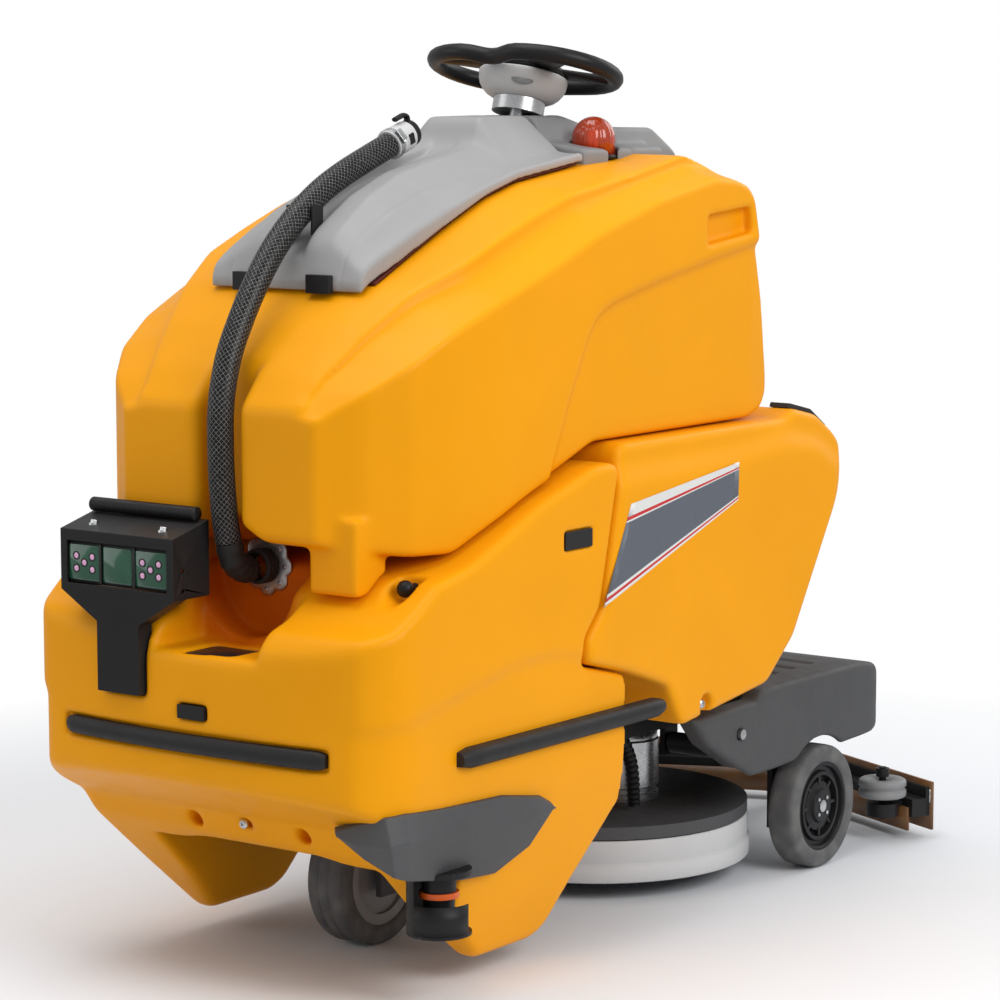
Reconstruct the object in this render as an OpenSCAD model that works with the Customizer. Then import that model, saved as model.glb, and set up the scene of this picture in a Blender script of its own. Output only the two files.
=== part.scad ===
// Stand-on floor scrubber with a front sensor head.
// Origin: on the floor, under the middle of the machine. -Y is the front, +X the machine's left.

/* [Body] */
// Distance from the middle of the machine to the front bumper's face
front_reach = 818; // [780:1:830]
// Half the width of the lower body
body_hw = 330; // [322:1:336]
// Half the width of the recovery tank
tank_hw = 300; // [285:1:304]
// Wall thickness of the moulded tanks and covers
wall = 6; // [4:0.5:8]
// Height of the lower edge of the front bumper cover
apron_z = 309; // [295:1:320]
// Height of the top of the solution tank
deck_z = 746; // [735:1:750]

/* [Wheels] */
// Radius of the rear wheels
rear_wheel_r = 100; // [95:1:102]
// Distance from the middle of the machine back to the rear axle
rear_axle_y = 395; // [385:1:405]
// Distance from the centre plane to a rear wheel's outer face
rear_track_hw = 304; // [296:1:308]
// Tread width of a rear wheel
rear_wheel_w = 48; // [40:1:50]
// Radius of the driven front wheel
drive_wheel_r = 105; // [100:1:106]
// Distance from the middle of the machine forward to the drive wheel's axle
drive_y = -410; // [-420:1:-400]

/* [Brush deck] */
// Radius of the deck's splash skirt
skirt_r = 250; // [240:1:252]
// Distance from the middle of the machine back to the brush's centre
deck_y = 183; // [176:1:190]
// Height of the bristle tips above the floor with the deck raised
brush_lift = 24; // [22:1:30]

/* [Squeegee] */
// Half the width of the squeegee, to the end of its blades
squeegee_hw = 352; // [340:1:356]
// Distance from the middle of the machine back to the squeegee's rearmost point
squeegee_reach = 818; // [800:1:830]
// Angle that each squeegee wing sweeps forward
squeegee_sweep = 25; // [20:1:28]
// Height of the blades above the floor with the squeegee raised
squeegee_lift_z = 16; // [14:1:24]

/* [Controls] */
// Radius of the steering wheel across its grips
steer_r = 162; // [150:1:175]
// Lean of the steering column towards the operator
steer_tilt = 16; // [10:1:20]
// Outside radius of the drain hose
hose_r = 19; // [16:0.5:20]

/* [Hidden] */
$fn = 48;

// Colours
yellow = "#f5a40c";
grey = "#8b8c8e";
dark = "#4c4d50";
black = "#1c1c1e";
steel = "#b9bbbf";
rubber = "#3c3c3e";
amber = "#7a4a14";
signal = "#e0440e";

// Radial clearance of a running fit
fit = 0.05;

// A prism whose outline is drawn in the Y-Z plane, centred on X = 0
module side_prism(half_w) {
    rotate([90, 0, 90]) linear_extrude(2 * half_w, center = true) children();
}
// A prism whose outline is drawn in the X-Z plane, from y0 to y1
module front_prism(y0, y1) {
    translate([0, y1, 0]) rotate([90, 0, 0]) linear_extrude(y1 - y0) children();
}
// Copies of the children on both sides of the centre plane
module both_sides() {
    children();
    mirror([1, 0, 0]) children();
}
// A cylinder along X
module x_rod(r, x0, x1, y, z) {
    translate([x0, y, z]) rotate([0, 90, 0]) cylinder(r = r, h = x1 - x0);
}
// A cylinder along Y
module y_rod(r, y0, y1, x, z) {
    translate([x, y1, z]) rotate([90, 0, 0]) cylinder(r = r, h = y1 - y0);
}
// A box given by its two opposite corners
module block(a, b) {
    translate(a) cube(b - a);
}
// A solid skin through rings that all have the same even number of points; its end caps are ladders
module skin(rings) {
    n = len(rings[0]);
    m = len(rings);
    e = (m - 1) * n;
    polyhedron(
        points = [for (ring = rings) each ring],
        faces = concat(
            [for (i = [0:n / 2 - 2]) [i, i + 1, n - 2 - i, n - 1 - i]],
            [for (j = [0:m - 2], i = [0:n - 1])
                [j * n + i, (j + 1) * n + i, (j + 1) * n + (i + 1) % n, j * n + (i + 1) % n]],
            [for (i = [0:n / 2 - 2]) [e + n - 1 - i, e + n - 2 - i, e + i + 1, e + i]]));
}

// ---- Lower body ----

rail_x0 = 120;
rail_x1 = 160;
rail_z0 = 252;
rail_z1 = 292;
pivot_plate_t = 10;
bearing_r = 60;
lift_pin_y = 482;
lift_pin_z = 150;
pin_r = 8;
lift_rod_r = 9;
lift_rod_x = 70;
lift_rod_y = deck_y - 203;

module chassis_frame() color(black) difference() {
    union() {
        both_sides() {
            block([rail_x0, -560, rail_z0], [rail_x1, 560, rail_z1]);
            // lugs that carry the squeegee arm's pin
            block([50, 462, lift_pin_z - 20], [60, 502, rail_z1]);
        }
        for (y = [-560, -310, -40, 340, 460, 530])
            block([-rail_x0, y, rail_z0], [rail_x0, y + 30, rail_z1]);
        block([-rail_x0, -530, rail_z1 - pivot_plate_t], [rail_x0, -280, rail_z1]);
        // battery tray
        block([-175, -200, rail_z1], [175, 200, rail_z1 + 6]);
        // pin that the squeegee arm swings on
        x_rod(pin_r, -62, 62, lift_pin_y, lift_pin_z);
    }
    translate([0, drive_y, 0]) cylinder(r = bearing_r + 14, h = 400);
    // guides for the deck's lift rods
    both_sides() translate([lift_rod_x, lift_rod_y, 0]) cylinder(r = lift_rod_r + fit, h = 400);
    // tie-down holes in the rails
    for (y = [-240, 520])
        both_sides() translate([(rail_x0 + rail_x1) / 2, y, 200]) cylinder(r = 6.5, h = 120);
}

module battery_pack() color(black)
    both_sides() {
        block([4, -195, rail_z1 + 6], [170, 195, 520]);
        for (y = [-150, 150]) translate([87, y, 520]) cylinder(r = 9, h = 14);
    }

// The front cover's face stands this much behind the bumper strip's
strip_reach = 6;
cover_y = front_reach - strip_reach;
bow_r = (234 * 234 + 16 * 16) / (2 * 16);
corner_r = 115;
// Outline of the front cover seen from the side
module fairing_outline()
    polygon([[-cover_y, apron_z], [-cover_y, 470], [-cover_y + 8, 502], [-780, 528],
        [-740, 540], [-700, 566], [-660, 594], [-578, 612], [-417, 680], [-290, 719], [-240, 722],
        [-225, 712],
        [-272, 514], [-312, 472], [-312, 433], [-214, 409], [-103, 371], [-73, 318],
        [-75, 288], [-165, 258], [-227, 183], [-288, 112], [-330, 48], [-360, 31],
        [-491, 28], [-672, 205], [-690, 240]]);
// Outline of the front cover seen from above
module fairing_plan()
    intersection() {
        translate([0, bow_r - cover_y]) circle(r = bow_r, $fn = 240);
        offset(r = corner_r) offset(delta = -corner_r)
            translate([-body_hw, -cover_y]) square([2 * body_hw, cover_y + 200]);
    }
// Outline of the front cover seen from the front, with its two legs
module fairing_front()
    both_sides()
        polygon([[0, 186], [110, 186], [165, 168], [205, 110], [228, 28], [264, 28],
            [290, 120], [308, 205], [body_hw, 300], [body_hw, 760], [0, 760]]);
module fairing_solid(inset) {
    intersection() {
        side_prism(body_hw) offset(delta = -inset) fairing_outline();
        linear_extrude(800) offset(delta = -inset) fairing_plan();
        front_prism(-front_reach, 0) offset(delta = -inset) fairing_front();
    }
}
// Room for the drain fitting in the front of both tanks
module drain_bay(grow = 0)
    y_rod(84 + grow, -front_reach, -646 + grow, 14, 580);
// Where the scanner sits at the left front corner
scanner_pos = [300, -628, 0];

module front_fairing() color(yellow) difference() {
    fairing_solid(0);
    difference() {
        fairing_solid(wall);
        drain_bay(wall);
        block([-170, -front_reach, 405], [-62, -789.7 + wall, 560]);
        block([-62 - wall, -front_reach, 490 - wall], [120 + wall, -700 + wall, 700]);
        latch_recess(wall);
    }
    drain_bay();
    // way through for the frame, the wheel and the brush deck
    block([-206, -664, 0], [206, 0, 330]);
    block([-body_hw + 60, -240, 0], [body_hw - 60, 0, 330]);
    block([-206, -214, 0], [206, 0, 420]);
    // seat of the sensor post
    block([-157, -front_reach - 1, 420], [-75, -789.7, 545]);
    // sockets behind the bumper strips and the proximity windows
    translate([0, 0, 347]) bow_strip(32, 10, 20, 240);
    both_sides() side_strip_room(30, 8);
    // lower shelf in the middle
    block([-62, -front_reach, 490], [120, -700, 700]);
    block([-14, -front_reach - 1, 397], [36, -796, 418]);
    both_sides() block([body_hw - 8, -366, 606], [body_hw + 1, -298, 634]);
    // drain slot in the shelf
    block([-18, -796, 470], [70, -722, 560]);
    // recess for the scanner
    translate(scanner_pos) cylinder(r = 46, h = 198);
    // clearance holes in the apron
    both_sides() y_rod(12, -720, -650, 100, 222);
    y_rod(7.5, -720, -650, 0, 228);
    latch_recess(0);
    y_rod(6 + fit, -650, -600, latch_pos[0], latch_pos[2]);
}

// A bar that follows the bow of the front bumper
module bow_strip(height, depth, reach, half_len) {
    half_a = asin(half_len / bow_r);
    translate([0, bow_r - cover_y, 0]) rotate(-90 - half_a)
        rotate_extrude(angle = 2 * half_a, $fn = 360)
            translate([bow_r - depth, 0]) square([depth + reach, height]);
}
module front_bumper_strip() color(black)
    translate([0, 0, 350]) bow_strip(26, 9.8, strip_reach, 236);

// The straight bar along each side of the front cover
module side_strip_room(height, depth) {
    translate([body_hw - depth, -618, 332]) cube([depth + 20, 504, height]);
}
module side_bumper_strips() color(black)
    both_sides() {
        translate([body_hw - 8, -616, 335]) cube([8, 500, 24]);
        translate([body_hw, -116, 347]) rotate([90, 0, 0]) cylinder(r = 12, h = 500);
    }

module proximity_windows() color(black) {
    block([-13, -812, 398], [35, -799, 417]);
    both_sides() block([body_hw - 7.9, -365, 607], [body_hw - 3, -299, 633]);
}

// Outline of the solution tank seen from the side
module rear_outline()
    polygon([[-71, 320], [-101, 373], [-212, 411], [-309, 436], [-309, 471], [-269, 513],
        [-222, 716], [-220, deck_z - 12], [-208, deck_z], [240, deck_z], [275, 758], [340, 744], [390, 714],
        [426, 682], [420, 656], [258, 400], [180, 336], [-60, 306]]);
module rear_solid(inset) {
    intersection() {
        side_prism(body_hw - inset) offset(delta = -inset) rear_outline();
        linear_extrude(900) offset(r = 60) offset(delta = -60 - inset)
            translate([-body_hw, -500]) square([2 * body_hw, 930]);
    }
}
bay_hw = 180;
bay_y = 208;
fill_neck_r = 34;
fill_pos = [0, 300, 0];

module solution_tank() color(yellow) difference() {
    rear_solid(0);
    difference() {
        rear_solid(wall);
        block([-bay_hw - wall, -400, 0], [bay_hw + wall, bay_y + wall, 545 + wall]);
    }
    block([-bay_hw, -400, 0], [bay_hw, bay_y, 545]);
    block([-206, -400, 0], [206, 600, rail_z1 + 2]);
    translate(fill_pos) cylinder(r = fill_neck_r + fit, h = 800);
    translate(fill_pos + [0, 0, 744]) cylinder(r = 54, h = 60);
    // notch that clears the side fixing bolt
    both_sides() x_rod(16, body_hw - 20, body_hw + 1, 4, 330);
}

module fill_cap() color(black)
    translate(fill_pos) {
        translate([0, 0, 718]) cylinder(r = fill_neck_r, h = 26.3);
        translate([0, 0, 744.3]) cylinder(r = 50, h = 14);
        translate([-38, -7, 758]) cube([76, 14, 12]);
    }

module corner_guards() color(black)
    both_sides() translate([283, 0, 0]) rotate([90, 0, 90]) linear_extrude(36, center = true)
        polygon([[276, 757.8], [340, 744], [386, 716.4], [390, 722], [343, 751], [280, 765]]);

// The knob that locks the recovery tank to the body
latch_pos = [268, -642, 584];
module latch_recess(grow)
    y_rod(21 + grow, -720, latch_pos[1] + grow, latch_pos[0], latch_pos[2]);
module tank_latch_knob() color(black) {
    y_rod(6, latch_pos[1] - 14, latch_pos[1] + 60, latch_pos[0], latch_pos[2]);
    translate(latch_pos - [0, 18, 0]) sphere(r = 12);
}

// ---- Recovery tank ----

// Height of the tank's rim, from front to rear
rim = [[-738, 824], [-700, 872], [-640, 930], [-570, 984], [-480, 1027], [-400, 1064], [-318, 1098],
    [-240, 1120], [-80, 1142], [60, 1150]];
function rim_z(y) = lookup(y, rim);

// One ring round the tank: distance back, bottom, half width, shoulder, and top
function tank_ring(y, zb, hw, zs, aw, za, zt, t) = let(k = min(25, (zs - zb) / 2)) [
    [-hw + 20 + t, y, zb + t], [-hw + t, y, zb + k], [-hw + t, y, zs - t / 2], [-aw + t, y, za - t],
    [-150, y, zt - t], [150, y, zt - t],
    [aw - t, y, za - t], [hw - t, y, zs - t / 2], [hw - t, y, zb + k], [hw - 20 - t, y, zb + t]];

module tank_solid(t)
    skin([
        tank_ring(-738 + t, 642, tank_hw - 128, 812, 160, 820, 824, t),
        tank_ring(-700 + t, 634, tank_hw - 74, 850, 172, 866, rim_z(-700), t),
        tank_ring(-640 + t, 624, tank_hw - 34, 888, 184, 924, rim_z(-640), t),
        tank_ring(-570 + t / 2, 622, tank_hw - 16, 926, 208, 976, rim_z(-570), t),
        tank_ring(-480, 660, tank_hw - 5, 962, 240, 1018, rim_z(-480), t),
        tank_ring(-400, 692, tank_hw - 2, 990, 242, 1050, rim_z(-400), t),
        tank_ring(-318, 720, tank_hw - 1, 1020, 243, 1080, rim_z(-318), t),
        tank_ring(-240, 748.5, tank_hw, 1050, 244, 1104, rim_z(-240), t),
        tank_ring(-80, 748.5, tank_hw, 1095, 244, 1128, rim_z(-80), t),
        tank_ring(70, 748.5, tank_hw, 1121, 240, 1156, 1158, t),
        tank_ring(128 - t, 748.5, tank_hw, 1112, 250, 1134, 1138, t),
        tank_ring(180 - t, 749, tank_hw, 1068, 255, 1084, 1090, t),
        tank_ring(222 - t, 760, tank_hw - 4, 922, 250, 930, 933, t),
        tank_ring(242 - t, 782, tank_hw - 8, 808, 250, 812, 815, t)]);

module hose_channel(grow = 0)
    block([-36 - grow, -760, 560], [36 + grow, -694 + grow, 1010]);

module grip_pockets(grow = 0)
    both_sides()
        block([tank_hw - 16 - grow, 46 - grow, 1022 - grow], [tank_hw + 20, 166 + grow, 1068 + grow]);

module motor_well(grow = 0)
    block([-125 - grow, -50 - grow, 1010 - grow], [125 + grow, 150 + grow, 1300]);

module console_seat(grow)
    block([-153 - grow, -73 - grow, 1140 - grow], [153 + grow, 300, 1300]);

module recovery_tank() color(yellow) difference() {
    tank_solid(0);
    difference() {
        tank_solid(wall);
        hose_channel(wall);
        drain_bay(wall);
        grip_pockets(wall);
        motor_well(wall);
        console_seat(wall);
    }
    hose_channel();
    drain_bay();
    grip_pockets();
    motor_well();
    // mouth of the tank under the lid
    block([-136, -556, 940], [136, -100, 1300]);
    console_seat(0);
    // drain outlet behind the flange
    y_rod(19, -660, -600, 14, 640);
    // clearance over the front cover and its wings
    translate([0, 0, 3]) side_prism(400) fairing_outline();
}

module vacuum_motor() color(steel) {
    translate([0, 70, 1010.2]) cylinder(r = 70, h = 76);
    translate([0, 70, 1086]) cylinder(r = 45, h = 40);
}

module drain_flange() color(steel)
    difference() {
        y_rod(44, -652, -646.1, 14, 594);
        y_rod(19.3, -660, -640, 14, 594);
    }

module drain_collar() color(black)
    difference() {
        y_rod(25, -674, -652, 14, 594);
        y_rod(19.3, -680, -640, 14, 594);
    }

// ---- Console and beacon ----

console_y0 = -68;
column_pos = [0, -34, 1214];
module at_column() {
    translate(column_pos) rotate([-steer_tilt, 0, 0]) children();
}
beacon_pos = [112, 10, 1150];

module steering_console() color(grey) difference() {
    union() {
        intersection() {
            side_prism(150) polygon([[console_y0, 1140.2], [console_y0, 1216], [8, 1216], [60, 1200],
                [128, 1186], [146, 1166], [146, 1140.2]]);
            front_prism(console_y0, 262) polygon([[-150, 1140], [-150, 1165], [-104, 1172], [-76, 1176],
                [-52, 1216], [52, 1216], [76, 1176], [104, 1172], [150, 1165], [150, 1140]]);
        }
        intersection() {
            side_prism(118) polygon([[62, 1141], [62, 1198], [178, 1195], [234, 1152.8], [234, 1119],
                [152, 1119], [148, 1141]]);
            front_prism(60, 262) polygon([[-118, 1119], [-118, 1160], [-106, 1198], [106, 1198], [118, 1160],
                [118, 1119]]);
        }
        // lugs that carry the lid's hinge pin
        both_sides() translate([35, 0, 0]) rotate([90, 0, 90]) linear_extrude(8, center = true) {
            translate([hinge_y, hinge_z]) circle(r = 7);
            polygon([[hinge_y - 4, hinge_z - 5], [console_y0 + 3, 1174], [console_y0 + 3, 1187],
                [hinge_y + 4, hinge_z + 5]]);
        }
    }
    block([-60, -40, 1130], [60, 140, 1172]);
    at_column() {
        translate([0, 0, -90]) cylinder(r = 12 + fit, h = 140);
        translate([0, 0, 1.5]) cylinder(r = 44, h = 60);
    }
    translate(beacon_pos - [0, 0, 10]) cylinder(r = 36.5, h = 100);
    x_rod(hinge_pin_r, -60, 60, hinge_y, hinge_z);
    at_dash() {
        block([-52, -26, -4], [52, 26, 30]);
        // seats of the stop button and the key switch
        translate([78, 0, -60]) cylinder(r = 8 + fit, h = 80);
        translate([-78, 0, -60]) cylinder(r = 9 + fit, h = 80);
    }
}

// Places the children on the sloping face in front of the operator, with +Z out of it
dash_tilt = 37;
module at_dash()
    translate([0, 206, 1173.9]) rotate([-dash_tilt, 0, 0]) children();
module dash_panel() color(black)
    at_dash() block([-51.5, -25.5, -4], [51.5, 25.5, 1]);
module stop_button() color("#c81414")
    at_dash() translate([78, 0, 0]) {
        translate([0, 0, -20]) cylinder(r = 8, h = 28);
        translate([0, 0, 6]) cylinder(r = 17, h = 9);
    }
module key_switch() color(steel)
    at_dash() translate([-78, 0, 0]) {
        translate([0, 0, -20]) cylinder(r = 9, h = 24);
        block([-1.5, -9, 4], [1.5, 9, 20]);
    }

hinge_y = -88;
hinge_z = 1200;
hinge_pin_r = 3;
module lid_hinge_pin() color(steel)
    x_rod(hinge_pin_r, -38.5, 38.5, hinge_y, hinge_z);

module beacon_base() color(black)
    translate(beacon_pos) cylinder(r = 36, h = 6);
module beacon_dome() color("#e8480c")
    translate(beacon_pos + [0, 0, 6]) rotate_extrude() difference() {
        union() {
            square([34, 24]);
            translate([0, 24]) intersection() {
                circle(r = 34);
                square([34, 34]);
            }
        }
        square([31, 24]);
        translate([0, 24]) intersection() {
            circle(r = 31);
            square([31, 31]);
        }
    }

// ---- Lid ----

lid_gap = 6;
lid_half_w = [[-590, 136], [-520, 146], [-400, 152], [0, 152]];
// One ring round the lid: distance back, crease, top half width, top, and groove for the hose
function lid_ring(y, zc, tw, zt, zg, t) = let(zl = rim_z(y) + lid_gap, hw = lookup(y, lid_half_w) - t) [
    [-hw, y, zl], [-hw, y, zl + 7 - t / 2], [-108 + t, y, zc - t], [-tw + t, y, zt - t],
    [-25 - t, y, zt + 0.5 - t], [-24 - t, y, zg - t], [24 + t, y, zg - t], [25 + t, y, zt + 0.5 - t],
    [tw - t, y, zt - t], [108 - t, y, zc - t], [hw, y, zl + 7 - t / 2], [hw, y, zl]];
module lid_solid(t, drop)
    translate([0, 0, -drop]) skin([
        lid_ring(-590 + t, 1002, 74, 1014, 1015, t),
        lid_ring(-556, 1030, 70, 1050, 1036, t),
        lid_ring(-480, 1072, 64, 1098, 1082, t),
        lid_ring(-400, 1104, 60, 1132, 1116, t),
        lid_ring(-318, 1121, 58, 1152, 1134, t),
        lid_ring(-240, 1139, 56, 1168, 1156, t),
        lid_ring(-214, 1146, 54, 1178, 1176, t),
        lid_ring(-198, 1150, 46, 1214, 1213, t),
        lid_ring(-82, 1163, 46, 1215, 1216, t),
        lid_ring(-73 - t, 1162, 46, 1210.5, 1211.5, t)]);
module lid() color(grey) difference() {
    union() {
        difference() {
            lid_solid(0, 0);
            lid_solid(5, 2);
        }
        // ears that turn on the hinge pin
        both_sides() block([18.5, -95.5, 1190], [26.5, -83.5, 1212]);
    }
    x_rod(hinge_pin_r + fit, -29, 29, hinge_y, hinge_z);
    // slots in the rear wall for the console's lugs
    both_sides() block([30.4, -84, 1140], [39.6, -70, 1206]);
}

module lid_seal() color(black)
    intersection() {
        side_prism(148) polygon(concat(
            [for (p = rim) if (p[0] > -600 && p[0] < -60) [p[0], p[1] + 0.6]],
            [for (i = [len(rim) - 1:-1:0]) if (rim[i][0] > -600 && rim[i][0] < -60)
                [rim[i][0], rim[i][1] + lid_gap - 2]]));
        difference() {
            block([-144, -566, 900], [144, -80, 1300]);
            block([-137, -558, 900], [137, -87, 1300]);
        }
    }

module hose_clip() color(black)
    both_sides() block([20.5, -556, 1052], [24, -532, 1094]);

module lid_latches() color(black)
    both_sides() block([46, -600, 974], [88, -590, 1000]);

// ---- Drain hose ----

hose_pivot = [12, -690, 592];
// Middle line of the hose, from the drain collar up to its plug
hose_route = [hose_pivot, [12, -706, 597], [12, -720, 610], [12, -729, 636], [12, -736, 672],
    [11, -740, 716], [10, -741, 766], [8, -738, 815], [6, -729, 855], [4, -713, 896], [3, -690, 936],
    [2, -664, 974], [1, -633, 1013], [0, -597, 1049], [0, -556, 1082], [0, -508, 1112], [0, -456, 1136],
    [0, -400, 1157], [0, -352, 1174]];
hose_sides = 10;
function unit(v) = v / norm(v);
// Direction of the route at point i
function heading(i) = unit(hose_route[min(i + 1, len(hose_route) - 1)] - hose_route[max(i - 1, 0)]);
// Ring of points round the route at point i
function hose_ring(i, r) = let(d = heading(i), a = unit(cross(d, [1, 0, 0])), b = cross(d, a)) [
    for (k = [0:hose_sides - 1]) let(w = 360 * k / hose_sides)
        hose_route[i] + r * (cos(w) * a + sin(w) * b)];
module drain_hose() color(black) {
    skin([for (i = [0:len(hose_route) - 1]) hose_ring(i, hose_r)]);
    // ball joint in the collar
    translate(hose_pivot) sphere(r = hose_r);
}

// Places the children at the hose's top end, with +Z along the hose
module at_hose_end() {
    d = heading(len(hose_route) - 1);
    translate(hose_route[len(hose_route) - 1]) rotate([-acos(d[2]), 0, 0]) children();
}
module hose_cuff() color("#c9cbce")
    at_hose_end() difference() {
        translate([0, 0, 0.2]) cylinder(r = 22, h = 44);
        translate([0, 0, 20]) cylinder(r = 15, h = 40);
    }
module drain_plug() color(black)
    at_hose_end() {
        translate([0, 0, 24]) cylinder(r = 14.8, h = 24);
        translate([0, 0, 44.4]) cylinder(r = 20, h = 12);
        translate([-4, -30, 46]) cube([8, 30, 8]);
    }

// ---- Steering ----

wheel_rise = 73;
rim_tube_r = 13;
rim_end_r = 98;
module steering_wheel() color(black)
    at_column() translate([0, 0, wheel_rise]) {
        side = steer_r - rim_tube_r - rim_end_r;
        for (a = [0, 180]) rotate(a) {
            translate([side, 0, 0]) rotate(-90) rotate_extrude(angle = 180)
                translate([rim_end_r, 0]) circle(r = rim_tube_r, $fn = 24);
            translate([-side, rim_end_r, 0]) rotate([0, 90, 0])
                cylinder(r = rim_tube_r, h = 2 * side, $fn = 24);
        }
        difference() {
            union() {
                cylinder(r = 50, h = 14, center = true);
                for (a = [-28, 28, 152, 208]) rotate(a)
                    translate([0, -11, -5]) cube([132, 22, 10]);
            }
            translate([0, 0, -20]) cylinder(r = 12, h = 40);
        }
    }
module steering_hub() color(grey)
    at_column() rotate_extrude()
        polygon([[12, 24], [44, 24], [58, 32], [66, 44], [69, 64], [12, 64]]);
module steering_shaft() color(steel)
    at_column() {
        translate([0, 0, -66]) cylinder(r = 12, h = 66 + wheel_rise + 6);
        translate([0, 0, 3]) cylinder(r = 40, h = 20.5);
    }

// ---- Drive unit ----

module steer_bearing() color(steel)
    translate([0, drive_y, rail_z1 - pivot_plate_t]) difference() {
        cylinder(r = bearing_r + 14, h = pivot_plate_t + 4);
        translate([0, 0, -1]) cylinder(r = bearing_r, h = pivot_plate_t + 6);
    }
module drive_fork() color(dark)
    translate([0, drive_y, 0]) difference() {
        union() {
            translate([0, 0, 270]) cylinder(r = bearing_r - fit, h = 32);
            translate([0, 0, 228]) cylinder(r = bearing_r - 4, h = 42);
            both_sides() block([40, -30, drive_wheel_r - 26], [50, 30, 240]);
            // axle stubs
            both_sides() x_rod(10, 22, 50, 0, drive_wheel_r);
        }
        translate([0, 0, 262]) cylinder(r = 34, h = 60);
    }
module drive_motor() color(black)
    translate([0, drive_y, 0]) {
        translate([0, 0, 262]) cylinder(r = 34, h = 40);
        translate([0, 0, 302]) cylinder(r = 56, h = 120);
    }
module drive_hub() color(grey)
    difference() {
        x_rod(drive_wheel_r - 30, -30, 30, drive_y, drive_wheel_r);
        both_sides() x_rod(10 + fit, 20, 31, drive_y, drive_wheel_r);
        both_sides() x_rod(drive_wheel_r - 46, 24, 31, drive_y, drive_wheel_r);
    }
module drive_tyre() color(rubber)
    difference() {
        x_rod(drive_wheel_r, -33, 33, drive_y, drive_wheel_r);
        x_rod(drive_wheel_r - 30, -34, 34, drive_y, drive_wheel_r);
    }

// ---- Rear axle and platform ----

axle_r = 10;
bracket_x = 232;
rear_inner_x = rear_track_hw - rear_wheel_w;
module axle_brackets() color(black)
    both_sides() {
        difference() {
            union() {
                block([bracket_x, 336, 66], [bracket_x + 10, 452, rail_z1]);
                block([rail_x1, 346, rail_z1 - 8], [bracket_x, 452, rail_z1]);
                x_rod(24, bracket_x + 10, bracket_x + 16, rear_axle_y, rear_wheel_r);
            }
            translate([200, rear_axle_y, 0]) cylinder(r = 8.5, h = 400);
        }
        x_rod(axle_r, bracket_x + 16, rear_track_hw - 8, rear_axle_y, rear_wheel_r);
    }
module rear_wheel_disc() {
    r0 = rear_wheel_r - 28;
    difference() {
        x_rod(r0, rear_inner_x + 3, rear_track_hw - 3, rear_axle_y, rear_wheel_r);
        x_rod(axle_r + fit, rear_inner_x, rear_track_hw - 7, rear_axle_y, rear_wheel_r);
        for (d = [[r0 - 6, 8], [r0 - 16, 14], [r0 - 30, 10]])
            translate([rear_track_hw - 3, rear_axle_y, rear_wheel_r]) rotate([0, 90, 0])
                translate([0, 0, -d[1]]) difference() {
                    cylinder(r = d[0], h = 20);
                    translate([0, 0, -1]) cylinder(r = d[0] - 8, h = 22);
                }
    }
}
module rear_tyre() difference() {
    x_rod(rear_wheel_r, rear_inner_x, rear_track_hw, rear_axle_y, rear_wheel_r);
    x_rod(rear_wheel_r - 28, rear_inner_x - 1, rear_track_hw + 1, rear_axle_y, rear_wheel_r);
}
module left_rear_wheel() color(black) rear_wheel_disc();
module left_rear_tyre() color(rubber) rear_tyre();
module right_rear_wheel() color(black) mirror([1, 0, 0]) rear_wheel_disc();
module right_rear_tyre() color(rubber) mirror([1, 0, 0]) rear_tyre();

platform_z = 318;
module platform_outline()
    polygon([[16, 300], [205, 302], [214, platform_z], [520, platform_z], [576, 310], [610, 292],
        [628, 262], [636, 196], [520, 192], [250, 182], [186, 182], [60, 252]]);
module platform() color(dark) difference() {
    intersection() {
        side_prism(298) platform_outline();
        linear_extrude(400) offset(r = 90) offset(delta = -90) translate([-298, -160]) square([596, 796]);
    }
    intersection() {
        side_prism(292) offset(delta = -5) platform_outline();
        linear_extrude(400) offset(r = 85) offset(delta = -91) translate([-298, -160]) square([596, 796]);
    }
    // open underneath
    block([-286, 60, 0], [286, 630, 200]);
    block([-262, -60, 0], [262, 212, 400]);
    block([-262, 200, 0], [262, 256, 296]);
    both_sides() x_rod(rear_wheel_r + 14, 240, 320, rear_axle_y, rear_wheel_r);
    // tread grooves
    for (i = [0:3]) block([-230, 300 + 56 * i, platform_z - 3], [230, 312 + 56 * i, platform_z + 1]);
    both_sides() x_rod(8.5, 280, 320, 150, 257);
}

module body_screws() color(steel)
    both_sides() x_rod(8, 286, 303, 150, 257);

// ---- Brush deck ----

brush_z = brush_lift;
skirt_z0 = brush_lift + 6;
motor_pos = [40, deck_y + 20, 0];
module deck_housing() color(dark) {
    difference() {
        translate([0, deck_y, skirt_z0 + 68]) cylinder(r = skirt_r - 4, h = 20);
        translate([0, deck_y, skirt_z0 + 60]) cylinder(r = skirt_r - 12, h = 22);
        translate([0, deck_y, 0]) cylinder(r = 30, h = 200);
    }
    both_sides() {
        translate([lift_rod_x, lift_rod_y, skirt_z0 + 86]) cylinder(r = lift_rod_r, h = 168);
        // foot of the lift rod
        translate([lift_rod_x, lift_rod_y, skirt_z0 + 86]) cylinder(r = 20, h = 10);
    }
}
module deck_skirt() color("#c4c6c8")
    translate([0, deck_y, skirt_z0]) difference() {
        union() {
            cylinder(r = skirt_r, h = 31);
            translate([0, 0, 31]) cylinder(r = skirt_r - 3, h = 37);
        }
        translate([0, 0, -1]) cylinder(r = skirt_r - 8, h = 80);
    }
module brush_motor() color(steel) {
    translate(motor_pos + [0, 0, skirt_z0 + 88]) cylinder(r = 58, h = 120);
    translate([0, deck_y, skirt_z0 + 88]) cylinder(r = 44, h = 40);
}
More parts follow.
